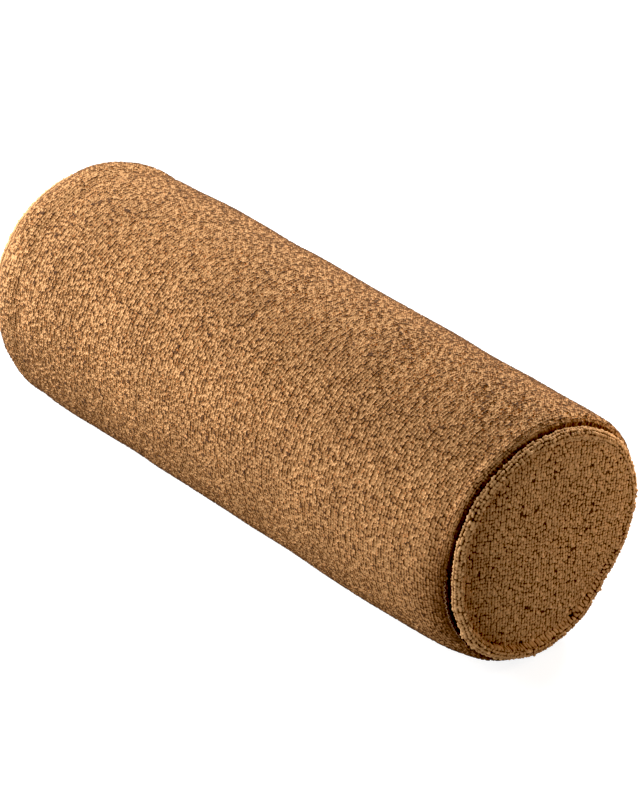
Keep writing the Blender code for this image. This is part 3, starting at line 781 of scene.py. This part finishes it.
def insert_seam_thread(name, node, shifts):
    """The thread that weaves along an end seam of the insert."""
    turns = even_turns(480)
    x = np.mean(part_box(node), axis=0)[0] + 0.9 * MM * np.sin(turns * 60)
    path = about_axis(x, half_width(node) - THREAD / 2, turns)
    points = strand(pressed(path, shifts), THREAD_PLY, closed=True)
    return grid_piece(name, points, wrap=True)


def stitch_row(name, side):
    """The stitches that hold one zip tape, each a strand that dips into the cover."""
    count = int(2 * STITCH_HALF_RUN / STITCH_PITCH)
    share = np.linspace(-1.0, 1.0, 15)
    angle = side * STITCH_Y / RADIUS
    stack = []
    for number in range(count):
        middle = -STITCH_HALF_RUN + (number + 0.5) * STITCH_PITCH
        lean = 0.35 * MM * (float(chance(number, 7, 41)) - 0.5)
        length = 0.44 * STITCH_PITCH * (0.94 + 0.1 * float(chance(number, 9, 42)))
        out = RADIUS - 0.45 * MM - 1.4 * MM * share**6
        path = round_zip(middle + share * length, out, angle + lean * share / RADIUS)
        stack.append(strand(path, STITCH_THREAD))
    return grid_piece(name, np.array(stack), wrap=True)


def end_seam_thread(name, node, side, stitches):
    """The thread that weaves along the groove of an end seam; side is 1 on the cover's right."""
    turns = even_turns(960)
    x = np.mean(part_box(node), axis=0)[0] + 1.0 * MM * np.sin(turns * stitches)
    out = half_width(node) - THREAD / 2
    if side > 0:
        out = out + right_rim(turns) - 0.3 * MM * seam_pull(turns)
    points = settle(strand(about_axis(x, out, turns), THREAD_PLY, closed=True))
    return grid_piece(name, points, wrap=True)


def back_seam_thread(name, node, shifts):
    """The ladder of thread that closes the back seam beyond the zip."""
    low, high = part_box(node)
    x = np.arange(low[0], high[0], 0.4 * MM)
    phase = (x - low[0]) * math.tau / (5 * MM)
    share = (x - LEFT_X) / (RIGHT_X - LEFT_X)
    outward = lie_of_cover(x, ZIP_ANGLE + 0 * x, shifts, share)[0]
    depth = RADIUS - 2.2 * MM + outward + 0.2 * MM * np.cos(phase)
    path = zip_place(x, 0.3 * MM * np.sin(phase), depth)
    return grid_piece(name, strand(path, THREAD_PLY), wrap=True)


def zip_tape(name, side):
    """A woven tape, its inner edge turned round a cord."""
    x = np.arange(-TAPE_HALF_LENGTH, TAPE_HALF_LENGTH + 1e-9, 1 * MM)
    across = np.linspace(TAPE_INNER_EDGE, TAPE_OUTER_EDGE, 20)
    from_middle = np.concatenate([across, across[::-1]])
    out = np.repeat([TAPE_TOP, TAPE_TOP - TAPE_WALL], len(across))
    closing = np.array([x[0], *x, x[-1]])[:, None] + 0 * out[None, :]
    meet = smoothstep(TAPES_MEET, TAPES_MEET + 5 * MM, closing)
    meet = np.maximum(meet, smoothstep(TAPES_PART, TAPES_PART + 5 * MM, -closing))
    left_over = (TAPE_OUTER_EDGE - from_middle) / (TAPE_OUTER_EDGE - TAPE_INNER_EDGE)
    reach = from_middle - meet * left_over * (TAPE_INNER_EDGE - 0.2 * MM)
    out = out[None, :] + 0 * closing
    out[[0, -1]] = TAPE_TOP - TAPE_WALL / 2
    piece = grid_piece(name, round_zip(closing, out, side * reach / TAPE_TOP), wrap=True)
    weld(piece, outward=True)
    return piece


def teeth_row(name, side):
    """A row of moulded teeth with rounded heads, on a cord along the edge of the tape."""
    head = [(0.55, 2.3), (0.5, 0.9), (0.95, 0.45), (1.02, -0.1), (0.9, -0.65), (0.45, -1.0)]
    outline = [(-x, y) for x, y in head] + [(x, y) for x, y in head[::-1]]
    solid = bmesh.new()
    offset = 0.0 if side < 0 else TOOTH_PITCH / 2
    first = CHAIN_START + 0.3 * MM + offset + TOOTH_CENTRE
    count = int((CHAIN_END - first - TOOTH_CENTRE) / TOOTH_PITCH) + 1
    for number in range(count):
        middle = first + number * TOOTH_PITCH
        ring = []
        for x, y in outline:
            ring.append(solid.verts.new((middle + x * MM, side * y * MM, TEETH_LOW)))
        face = solid.faces.new(ring)
        made = bmesh.ops.extrude_face_region(solid, geom=[face])
        top = [g for g in made["geom"] if isinstance(g, bmesh.types.BMVert)]
        bmesh.ops.translate(solid, verts=top, vec=(0, 0, TEETH_HIGH - TEETH_LOW))
    cord = bmesh.ops.create_cone(
        solid, cap_ends=True, segments=12, radius1=1 * MM, radius2=1 * MM,
        depth=CHAIN_END - CHAIN_START,
    )
    turn = Matrix.Rotation(math.pi / 2, 3, "Y")
    bmesh.ops.rotate(solid, verts=cord["verts"], matrix=turn)
    middle_z = (TEETH_LOW + TEETH_HIGH) / 2
    shift = ((CHAIN_START + CHAIN_END) / 2, side * (CHAIN_EDGE - 0.1 * MM), middle_z)
    bmesh.ops.translate(solid, verts=cord["verts"], vec=shift)
    bmesh.ops.recalc_face_normals(solid, faces=solid.faces)
    mesh = bpy.data.meshes.new(name)
    solid.to_mesh(mesh)
    solid.free()
    places = places_of(mesh)
    mesh.vertices.foreach_set("co", zip_place(*places.T).reshape(-1))
    piece = add_object(name, mesh)
    soften(piece, 0.22 * MM, 2)
    return piece


def soften(piece, width, segments):
    """Rounds a piece's sharp edges for good."""
    bevel = piece.modifiers.new("edges", "BEVEL")
    bevel.width = width
    bevel.segments = segments
    bevel.limit_method = "ANGLE"
    bevel.angle_limit = math.radians(35)
    depsgraph = bpy.context.evaluated_depsgraph_get()
    done = bpy.data.meshes.new_from_object(piece.evaluated_get(depsgraph))
    piece.modifiers.clear()
    piece.data = done
    done.shade_smooth()
    done.set_sharp_from_angle(angle=math.radians(50))


def softened_copy(name, node, width):
    """A CAD piece with rounded edges."""
    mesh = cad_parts[node].data.copy()
    solid = bmesh.new()
    solid.from_mesh(mesh)
    bmesh.ops.remove_doubles(solid, verts=solid.verts, dist=1e-6)
    bmesh.ops.dissolve_limit(
        solid, angle_limit=math.radians(2), verts=solid.verts, edges=solid.edges
    )
    solid.to_mesh(mesh)
    solid.free()
    piece = add_object(name, mesh)
    piece.matrix_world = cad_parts[node].matrix_world
    soften(piece, width, 3)
    return piece


def care_label():
    """A woven label folded double, that hangs from its sewn edge and follows the cover."""
    y = np.linspace(0.0, LABEL_LENGTH, 77)
    face = np.repeat([1.0, -1.0], len(y))
    wide, deep = np.meshgrid(
        np.linspace(-LABEL_WIDTH / 2, LABEL_WIDTH / 2, 51),
        np.concatenate([y, y[::-1]]),
        indexing="ij",
    )
    edge = np.minimum(LABEL_WIDTH / 2 - np.abs(wide), LABEL_LENGTH - deep)
    wall = LABEL_HALF_WALL * np.sqrt(np.clip(edge / (0.4 * MM), 0.0, 1.0))
    hem = bell(edge - 2.2 * MM, 0.5 * MM)
    curl = smoothstep(10 * MM, LABEL_LENGTH, deep)
    bend = 1.2 * MM + 0.5 * MM * np.sin(wide / (6 * MM)) + 0.8 * MM * (wide / (12 * MM)) ** 2
    above = 0.8 * MM + 0.2 * MM * smoothstep(0.0, 5 * MM, deep) + curl * bend
    out = RADIUS + above + face * (wall - 0.1 * MM * hem)
    return grid_piece("woven_label", round_zip(LABEL_X + wide, out, deep / RADIUS), wrap=True)


def label_stitches():
    """The bar of stitches across the label's sewn edge."""
    stack = []
    share = np.linspace(-1.0, 1.0, 11)
    for number in range(9):
        x = LABEL_X + (number - 4) * 2.5 * MM + share * 1.0 * MM
        path = zip_place(x, 3 * MM, RADIUS + 1.35 * MM - 0.5 * MM * share**6)
        stack.append(strand(path, LABEL_THREAD))
    return grid_piece("label_stitches", np.array(stack), wrap=True)


# ---------------------------------------------------------------- insert


def thick(outline, wall):
    """A closed outline round a wall whose outer side is the given (x, radius) points."""
    outer = np.array(outline)
    along = np.gradient(outer, axis=0)
    along /= np.maximum(np.linalg.norm(along, axis=1, keepdims=True), 1e-9)
    inward = np.stack([along[:, 1], -along[:, 0]], axis=1)
    inner = outer + inward * wall
    inner[:, 1] = np.where(outer[:, 1] < 1e-6, 0.0, inner[:, 1])
    return [tuple(point) for point in outer] + [tuple(point) for point in inner[::-1]]


def pressed(points, shifts):
    """Shifts points of the insert as the cover presses them in, most at its right shoulder."""
    x = points[..., 0]
    y = points[..., 1]
    z = points[..., 2] - AXIS_Z
    out = np.hypot(y, z)
    turn = np.arctan2(z, y)
    share = np.clip((x - LEFT_X) / (RIGHT_X - LEFT_X), 0.0, 1.0)
    outward = np.minimum(lie_of_cover(x, turn, shifts, share)[0], 0.0)
    factor = 1 + outward * smoothstep(20 * MM, 98 * MM, out) / np.maximum(out, 10 * MM)
    back = 3.5 * MM * smoothstep(240 * MM, 290 * MM, x)
    return np.stack([x - back, y * factor, AXIS_Z + z * factor], axis=-1)


def turned_piece(name, outline, shifts, spacing, lumps, seed):
    """A body turned round the axis from a closed outline, or one that starts and ends on the axis.

    Its surface is lumpy by noise of (height, size) pairs.
    """
    points = np.array(outline)
    ring = points[0, 1] > 1e-6
    if ring:
        points = np.concatenate([points, points[:1]])
    x, r, _ = evenly(points, spacing)
    turns = even_turns(int(math.tau * r.max() / spacing))
    turn = np.broadcast_to(turns, (len(x), len(turns)))
    wide_x = np.broadcast_to(x[:, None], turn.shape)
    radius = np.broadcast_to(r[:, None], turn.shape).copy()
    hold = smoothstep(0.0, 20 * MM, radius)
    for number, (height, size) in enumerate(lumps):
        lump = noise(turn * r.max(), wide_x, size, seed + number)
        radius -= height * hold * (0.5 + 0.5 * lump)
    grid = pressed(about_axis(wide_x, radius, turn), shifts)
    if ring:
        grid[-1] = grid[0]
    piece = grid_piece(name, grid, wrap=True)
    weld(piece, outward=True)
    return piece


def casing_arc(side, start, stop):
    """Part of the casing's rounding at one end; side is 1 on the right."""
    rounding = CASING_ROUNDING[side]
    points = arc(CASING_END[side] - rounding, CASING_RADIUS - rounding, rounding, start, stop, 16)
    return [(side * x, radius) for x, radius in points]


def casing_angle(side, radius):
    rounding = CASING_ROUNDING[side]
    return math.acos((radius - CASING_RADIUS + rounding) / rounding)


def build_casing(shifts):
    """The plain cotton tube of the insert, both edges turned in at its seams."""
    outline = []
    for side in (-1, 1):
        bend = casing_arc(side, 0.0, casing_angle(side, CASING_SEAM_RADIUS))
        seam_x = bend[-1][0]
        bend.append((seam_x - side * 0.6 * MM, CASING_SEAM_RADIUS - 0.9 * MM))
        bend.append((seam_x - side * CASING_FLANGE, CASING_SEAM_RADIUS - 0.9 * MM))
        outline += bend[::-1] if side < 0 else bend
    lumps = ((0.7 * MM, 26 * MM), (0.3 * MM, 9 * MM))
    wall = thick(outline, CASING_WALL)
    return turned_piece("cotton_casing", wall, shifts, CASING_GRID, lumps, 400)


def build_casing_end(name, side, shifts):
    """A cotton end panel, domed on the left."""
    flange = CASING_SEAM_RADIUS - 2.3 * MM
    bend = casing_arc(side, math.pi / 2, casing_angle(side, flange))
    outline = [(side * CASING_END[side], 0.0)] + bend
    outline.append((bend[-1][0] - side * CASING_FLANGE, flange))
    lumps = ((0.3 * MM, 12 * MM),)
    wall = thick(outline, CASING_WALL * side)
    return turned_piece(name, wall, shifts, CASING_GRID, lumps, 420)


def filling_outline(node, bore, rounding_left, rounding_right):
    """The rounded outline of a layer of filling, between its bore and its outside."""
    low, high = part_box(node)
    radius = half_width(node) - 0.2 * MM
    outline = []
    for side, reach, rounding in ((-1, -low[0], rounding_left), (1, high[0], rounding_right)):
        angle = math.acos((bore - radius + rounding) / rounding)
        centre = reach - rounding * math.sin(angle)
        bend = [(side * x, r) for x, r in arc(centre, radius - rounding, rounding, 0.0, angle, 20)]
        outline += bend[::-1] if side < 0 else bend
    return outline


def build_wadding(shifts):
    """The fibre wrapped round the core."""
    bore = half_width("foam_core") + 0.4 * MM
    outline = filling_outline("fibre_wadding", bore, 75 * MM, 40 * MM)
    lumps = ((0.8 * MM, 17 * MM), (0.5 * MM, 5 * MM))
    return turned_piece("polyester_wadding", outline, shifts, FILLING_GRID, lumps, 440)


def build_end_pad(shifts):
    """The domed pad of fibre at the core's left end."""
    low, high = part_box("fibre_end_pad")
    rim = half_width("fibre_end_pad") - 0.3 * MM
    depth = high[0] - low[0]
    rounding = (rim**2 + depth**2) / (2 * depth)
    outline = [(high[0], 0.0), (high[0], rim)]
    for k in range(1, 17):
        angle = math.asin(rim / rounding) * (1 - k / 16)
        outline.append((low[0] + rounding * (1 - math.cos(angle)), rounding * math.sin(angle)))
    lumps = ((0.8 * MM, 15 * MM), (0.5 * MM, 5 * MM))
    return turned_piece("polyester_end_pad", outline, shifts, FILLING_GRID, lumps, 460)


def build_core(shifts):
    """The foam log, its sawn edges a little rounded."""
    low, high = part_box("foam_core")
    radius = half_width("foam_core") - 0.1 * MM
    soft = 3 * MM
    outline = [(low[0], 0.0)]
    outline += arc(low[0] + soft, radius - soft, soft, -math.pi / 2, 0.0, 5)
    outline += arc(high[0] - soft, radius - soft, soft, 0.0, math.pi / 2, 5)
    outline.append((high[0], 0.0))
    lumps = ((0.25 * MM, 30 * MM), (0.2 * MM, 4 * MM))
    return turned_piece("foam_log", outline, shifts, FILLING_GRID, lumps, 480)


# ---------------------------------------------------------------- materials


def new_material(name):
    made = bpy.data.materials.new(name)
    made.use_nodes = True
    return made, made.node_tree


def feed(tree, node, inputs):
    """Sets a node's inputs, by name or number, to values or to the sockets that drive them."""
    for key, value in inputs.items():
        if isinstance(value, bpy.types.NodeSocket):
            tree.links.new(value, node.inputs[key])
        else:
            node.inputs[key].default_value = value


def new_node(tree, kind, inputs=(), **settings):
    node = tree.nodes.new("ShaderNode" + kind)
    for key, value in settings.items():
        setattr(node, key, value)
    feed(tree, node, dict(inputs))
    return node


def ramp_node(tree, source, *stops):
    """A colour ramp of (place, colour) stops, driven by a socket."""
    node = new_node(tree, "ValToRGB", {"Fac": source})
    elements = node.color_ramp.elements
    while len(elements) < len(stops):
        elements.new(0.5)
    for element, (place, colour) in zip(elements, stops):
        element.position = place
        element.color = (*colour, 1.0)
    return node.outputs["Color"]


def attribute_node(tree, name):
    return new_node(tree, "Attribute", attribute_name=name).outputs["Fac"]


def noise_node(tree, scale, detail=2.0, vector=None, distortion=0.0):
    if vector is None:
        vector = object_place(tree)
    inputs = {"Scale": scale, "Detail": detail, "Distortion": distortion, "Vector": vector}
    return new_node(tree, "TexNoise", inputs).outputs["Fac"]


def object_place(tree):
    return new_node(tree, "TexCoord").outputs["Object"]


def multiplied(tree, colour, tone, share=1.0):
    """A colour times another, by a share from 0 to 1."""
    inputs = {0: share, 6: colour, 7: tone}
    return new_node(tree, "Mix", inputs, data_type="RGBA", blend_type="MULTIPLY").outputs[2]


def toned(tree, colour, source, low, high, share=1.0):
    """A colour times a tone that goes from low to high with the value of a noise."""
    return multiplied(tree, colour, ramp_node(tree, source, (0.3, low), (0.7, high)), share)


def bump_node(tree, height, strength, distance):
    inputs = {"Strength": strength, "Distance": distance, "Height": height}
    return new_node(tree, "Bump", inputs).outputs["Normal"]


def math_node(tree, operation, one, two):
    return new_node(tree, "Math", {0: one, 1: two}, operation=operation).outputs["Value"]


def round_place(tree, radius):
    """The place on a surface round the pillow's axis: (along it, round it, away from it)."""
    parts = new_node(tree, "SeparateXYZ", {"Vector": object_place(tree)}).outputs
    up = math_node(tree, "SUBTRACT", parts["Z"], AXIS_Z)
    angle = math_node(tree, "ARCTAN2", up, parts["Y"])
    around = math_node(tree, "MULTIPLY", angle, radius)
    return new_node(tree, "CombineXYZ", {"X": parts["X"], "Y": around}).outputs["Vector"]


def turned_place(tree):
    """The place with the pillow's axis as its third direction, for cloth that faces endwards."""
    parts = new_node(tree, "SeparateXYZ", {"Vector": object_place(tree)}).outputs
    turned = {"X": parts["Y"], "Y": parts["Z"], "Z": parts["X"]}
    return new_node(tree, "CombineXYZ", turned).outputs["Vector"]


def ribs(tree, direction, pitch, vector):
    """Even ribs, 0 to 1, across an axis of a place."""
    inputs = {"Scale": math.tau / 20 / pitch, "Distortion": 0.3, "Vector": vector}
    return new_node(tree, "TexWave", inputs, bands_direction=direction).outputs["Fac"]


def finish(made, colour, normal, roughness, more=()):
    """Joins a material's pattern to its shader."""
    tree = made.node_tree
    shader = tree.nodes["Principled BSDF"]
    feed(tree, shader, {"Base Color": colour, "Normal": normal, "Roughness": roughness})
    feed(tree, shader, dict(more))
    return made


def boucle_material():
    """Camel loop yarn: painted shade, near black, between the loops and in the seam's groove, and
    the yarn's own colour on their tops, with a soft sheen.
    """
    made, tree = new_material("boucle")
    # The low stops of this ramp are painted shade: near black between the loops and in the seam's
    # groove. The high stops are the yarn's own colour.
    depth = ramp_node(
        tree,
        attribute_node(tree, "loop"),
        (0.0, (0.035, 0.013, 0.004)),
        (0.2, (0.23, 0.10, 0.034)),
        (0.45, (0.6, 0.33, 0.142)),
        (1.0, (0.79, 0.472, 0.23)),
    )
    tint = ramp_node(
        tree,
        attribute_node(tree, "tint"),
        (0.0, (0.84, 0.81, 0.77)),
        (0.5, (1.0, 1.0, 1.0)),
        (1.0, (1.12, 1.13, 1.16)),
    )
    colour = multiplied(tree, depth, tint, 0.8)
    colour = toned(tree, colour, noise_node(tree, 14.0), (0.9, 0.89, 0.88), (1.06, 1.06, 1.05))
    fibres = noise_node(tree, 1500.0, 3.0)
    colour = toned(tree, colour, fibres, (0.8, 0.78, 0.76), (1.15, 1.15, 1.15), 0.7)
    sheen = {
        "Specular IOR Level": 0.2,
        "Sheen Weight": 0.06,
        "Sheen Roughness": 0.5,
        "Sheen Tint": (0.95, 0.75, 0.5, 1.0),
    }
    return finish(made, colour, bump_node(tree, fibres, 0.3, 0.3 * MM), 0.92, sheen)


def thread_material(name, dark, pale):
    """Spun thread, with single fibres."""
    made, tree = new_material(name)
    fibres = noise_node(tree, 2600.0, 3.0)
    colour = ramp_node(tree, fibres, (0.3, dark), (0.7, pale))
    sheen = {"Specular IOR Level": 0.35, "Sheen Weight": 0.15}
    return finish(made, colour, bump_node(tree, fibres, 0.5, 0.1 * MM), 0.6, sheen)


def woven_material(name, dark, pale, pitch, radius=None, roughness=0.85):
    """Plain woven cloth with slubs and a soft sheen, laid round the axis or facing endwards."""
    made, tree = new_material(name)
    vector = round_place(tree, radius) if radius else turned_place(tree)
    warp = ribs(tree, "X", pitch, vector)
    weft = ribs(tree, "Y", pitch, vector)
    weave = math_node(tree, "MULTIPLY", warp, weft)
    slubs = noise_node(tree, 220.0, 4.0)
    mixed = math_node(tree, "ADD", math_node(tree, "MULTIPLY", weave, 0.6), slubs)
    colour = ramp_node(tree, mixed, (0.35, dark), (0.95, pale))
    normal = bump_node(tree, weave, 0.6, 0.15 * MM)
    return finish(made, colour, normal, roughness, {"Sheen Weight": 0.12})


def tape_material():
    """The zip tape: a ribbed twill with a darker herringbone shadow."""
    made, tree = new_material("zip_tape")
    vector = round_place(tree, TAPE_TOP)
    lengthwise = ribs(tree, "Y", 0.9 * MM, vector)
    slanting = ribs(tree, "DIAGONAL", 0.7 * MM, vector)
    weave = math_node(tree, "MULTIPLY", lengthwise, slanting)
    colour = ramp_node(tree, weave, (0.0, (0.12, 0.055, 0.02)), (0.8, (0.33, 0.175, 0.08)))
    colour = toned(tree, colour, noise_node(tree, 90.0), (0.85, 0.84, 0.82), (1.1, 1.1, 1.1))
    normal = bump_node(tree, weave, 0.8, 0.2 * MM)
    return finish(made, colour, normal, 0.8, {"Sheen Weight": 0.1})


def moulded_material():
    """Moulded resin teeth: satin, with the faint mottling of dyed plastic."""
    made, tree = new_material("zip_teeth")
    cloud = noise_node(tree, 900.0, 3.0)
    colour = ramp_node(tree, cloud, (0.3, (0.20, 0.10, 0.04)), (0.7, (0.30, 0.16, 0.07)))
    normal = bump_node(tree, cloud, 0.15, 0.05 * MM)
    return finish(made, colour, normal, 0.36, {"Coat Weight": 0.2})


def brass_material():
    """Antique brass: darker and rubbed-bright patches that follow a noise, with fine scratches."""
    made, tree = new_material("zip_metal")
    colour = ramp_node(
        tree,
        noise_node(tree, 380.0, 4.0),
        (0.3, (0.20, 0.125, 0.06)),
        (0.55, (0.50, 0.36, 0.19)),
        (0.75, (0.72, 0.55, 0.32)),
    )
    stretch = {"Scale": (1.0, 14.0, 14.0), "Vector": object_place(tree)}
    stretched = new_node(tree, "Mapping", stretch).outputs["Vector"]
    scratches = noise_node(tree, 700.0, 2.0, stretched)
    rough = math_node(tree, "ADD", math_node(tree, "MULTIPLY", scratches, 0.3), 0.16)
    normal = bump_node(tree, scratches, 0.15, 0.05 * MM)
    return finish(made, colour, normal, rough, {"Metallic": 1.0})


def fibre_material():
    """Polyester fibre: white, matt and matted, with tangled strands."""
    made, tree = new_material("wadding")
    tangle = noise_node(tree, 260.0, 6.0, distortion=3.5)
    colour = ramp_node(tree, tangle, (0.3, (0.66, 0.66, 0.64)), (0.65, (0.93, 0.93, 0.91)))
    soft = {
        "Sheen Weight": 0.2,
        "Subsurface Weight": 0.15,
        "Subsurface Radius": (2 * MM, 2 * MM, 2 * MM),
    }
    return finish(made, colour, bump_node(tree, tangle, 0.8, 0.8 * MM), 0.95, soft)


def foam_material():
    """Cut foam: pale yellow, full of small open cells, each pore darkened by painted shade."""
    made, tree = new_material("foam")
    cells = new_node(tree, "TexVoronoi", {"Scale": 620.0, "Vector": object_place(tree)})
    pores = cells.outputs["Distance"]
    # Painted shade: the colour goes darker towards the middle of each cell, where its pore is.
    colour = ramp_node(tree, pores, (0.1, (0.50, 0.44, 0.24)), (0.45, (0.86, 0.80, 0.56)))
    aged = noise_node(tree, 18.0)
    colour = toned(tree, colour, aged, (0.93, 0.9, 0.82), (1.04, 1.04, 1.05))
    return finish(made, colour, bump_node(tree, pores, 0.9, 0.6 * MM), 0.92)


def set_material(piece, material):
    piece.data.materials.clear()
    piece.data.materials.append(material)


# ---------------------------------------------------------------- stage


def add_floor():
    """A pale floor, which the camera sees brighter than the pillow does."""
    bpy.ops.mesh.primitive_plane_add(size=12, location=(0, 0, -0.5 * MM))
    floor = bpy.context.object
    floor.name = "floor"
    made, tree = new_material("pale_floor")
    seen = new_node(tree, "LightPath").outputs["Is Camera Ray"]
    floor_look = {
        "Base Color": (0.35, 0.35, 0.35, 1.0),
        "Roughness": 0.9,
        "Specular IOR Level": 0.1,
        "Emission Color": (1.0, 1.0, 1.0, 1.0),
        "Emission Strength": math_node(tree, "MULTIPLY", seen, 0.8),
    }
    feed(tree, tree.nodes["Principled BSDF"], floor_look)
    set_material(floor, made)


def add_area_light(name, place, aim, size, watts, colour=(1.0, 1.0, 1.0)):
    data = bpy.data.lights.new(name, "AREA")
    data.color = colour
    data.shape = "DISK"
    data.size = size
    data.energy = watts
    lamp = add_object(name, data)
    lamp.location = place
    lamp.rotation_euler = (Vector(aim) - Vector(place)).to_track_quat("-Z", "Y").to_euler()


def add_lights():
    """A strong key past the left end, a broad rear light, and small fills on the right."""
    middle = (0.0, 0.0, 0.1)
    add_area_light("key", (-1.6, -0.9, 0.5), middle, 0.6, 54)
    add_area_light("rear", (-0.3, 1.3, 1.2), middle, 0.8, 46)
    add_area_light("near", (-0.6, -0.3, 1.0), middle, 0.3, 5.5)
    add_area_light("right_low", (0.6, -1.4, 0.35), middle, 0.5, 8)
    add_area_light("end", (0.46, 0.32, 0.20), (0.3, 0.06, 0.11), 0.15, 0.7, (1.0, 0.82, 0.62))
    world = bpy.data.worlds.new("studio")
    world.use_nodes = True
    air = {"Color": (1.0, 1.0, 1.0, 1.0), "Strength": 0.05}
    feed(world.node_tree, world.node_tree.nodes["Background"], air)
    bpy.context.scene.world = world
    view = bpy.context.scene.view_settings
    view.view_transform = "Standard"
    view.use_curve_mapping = True
    view.curve_mapping.black_level = (0.014, 0.014, 0.012)
    view.curve_mapping.white_level = (0.93, 0.93, 0.93)


def add_camera():
    """Looks at the middle of the pillow from its right front, as the photograph does."""
    azimuth = math.radians(40.5)  # from the pillow's axis
    elevation = math.radians(30.4)
    distance = 14.6 * 2 * RADIUS
    level = math.cos(elevation)
    back = Vector((math.cos(azimuth) * level, -math.sin(azimuth) * level, math.sin(elevation)))
    data = bpy.data.cameras.new("camera")
    data.lens = 170
    data.shift_x = 0.034
    data.shift_y = -0.010
    camera = add_object("camera", data)
    camera.location = Vector((0.0, 0.0, AXIS_Z)) + back * distance
    camera.rotation_euler = back.to_track_quat("Z", "Y").to_euler()
    bpy.context.scene.camera = camera


# ---------------------------------------------------------------- build


WHITE_THREAD = ((0.62, 0.60, 0.56), (0.86, 0.85, 0.81))  # dark and pale
ZIP_SIDES = (("upper", -1), ("lower", 1))


def place(piece, material, slot, body, *nodes):
    """Gives a piece its material, the body it moves with and the CAD nodes it stands for."""
    set_material(piece, material)
    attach(piece, body)
    if nodes:
        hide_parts(*nodes)


def add_cover(shifts):
    boucle = boucle_material()
    place(build_tube(shifts), boucle, "boucle", "cover", "cover_tube")
    for end, outline, side, seed, grain, rolled in (
        ("right", right_outline(), 1, 200, 88, 15 * MM),
        ("left", left_outline(), -1, 300, 60, 3 * MM),
    ):
        name = f"boucle_end_{end}"
        piece = build_end(name, outline, shifts[end], side, seed, math.radians(grain), rolled)
        place(piece, boucle, "boucle", "cover", f"cover_end_{end}")


def add_threads(shifts):
    brown = thread_material("sewing_thread", (0.20, 0.095, 0.04), (0.42, 0.23, 0.105))
    white = thread_material("sewing_thread_white", *WHITE_THREAD)
    for end, side in (("right", 1), ("left", -1)):
        node = f"cover_seam_thread_{end}"
        piece = end_seam_thread(f"end_seam_{end}", node, side, 120)
        place(piece, brown, "sewing_thread", "cover", node)
        node = f"back_seam_thread_{end}"
        piece = back_seam_thread(f"back_seam_{end}", node, shifts)
        place(piece, brown, "sewing_thread", "cover", node)
        node = f"insert_seam_thread_{end}"
        piece = insert_seam_thread(f"casing_seam_{end}", node, shifts)
        place(piece, white, "sewing_thread_white", "cover", node)
    for row, side in ZIP_SIDES:
        piece = stitch_row(f"topstitch_{row}", side)
        place(piece, brown, "sewing_thread", "cover", f"zip_stitches_{row}")


def add_zip():
    tape = tape_material()
    resin = moulded_material()
    brass = brass_material()
    for row, side in ZIP_SIDES:
        piece = zip_tape(f"woven_tape_{row}", side)
        place(piece, tape, "zip_tape", "cover", f"zip_tape_{row}")
        piece = teeth_row(f"moulded_teeth_{row}", side)
        place(piece, resin, "zip_teeth", "cover", f"zip_teeth_{row}")
    for part, body, rounding in (
        ("top_stop_upper", "cover", 0.2 * MM),
        ("top_stop_lower", "cover", 0.2 * MM),
        ("bottom_stop", "cover", 0.25 * MM),
        ("slider", "slider", 0.22 * MM),
        ("pull", "pull", 0.3 * MM),
    ):
        piece = softened_copy(f"brass_{part}", f"zip_{part}", rounding)
        place(piece, brass, "zip_metal", body, f"zip_{part}")


def add_label():
    satin = woven_material(
        "label_cloth",
        (0.70, 0.675, 0.61),
        (0.90, 0.88, 0.83),
        0.5 * MM,
        RADIUS,
        roughness=0.55,
    )
    place(care_label(), satin, "label_cloth", "label", "care_label")
    white = thread_material("label_thread", *WHITE_THREAD)
    place(label_stitches(), white, "label_cloth", "label")


def add_insert(shifts):
    look = ((0.66, 0.64, 0.58), (0.86, 0.845, 0.80), 0.8 * MM)
    cotton = woven_material("casing_cloth", *look, CASING_RADIUS)
    end_cotton = woven_material("casing_end_cloth", *look)
    fibre = fibre_material()
    place(build_casing(shifts), cotton, "casing_cloth", "cover", "insert_casing")
    for end, side in (("right", 1), ("left", -1)):
        piece = build_casing_end(f"cotton_end_{end}", side, shifts)
        place(piece, end_cotton, "casing_cloth", "cover", f"insert_end_{end}")
    place(build_wadding(shifts), fibre, "wadding", "cover", "fibre_wadding")
    place(build_end_pad(shifts), fibre, "wadding", "cover", "fibre_end_pad")
    place(build_core(shifts), foam_material(), "foam", "cover", "foam_core")


shifts = simulate_form()
add_cover(shifts)
add_threads(shifts)
add_zip()
add_label()
add_insert(shifts)
add_floor()
add_lights()
add_camera()
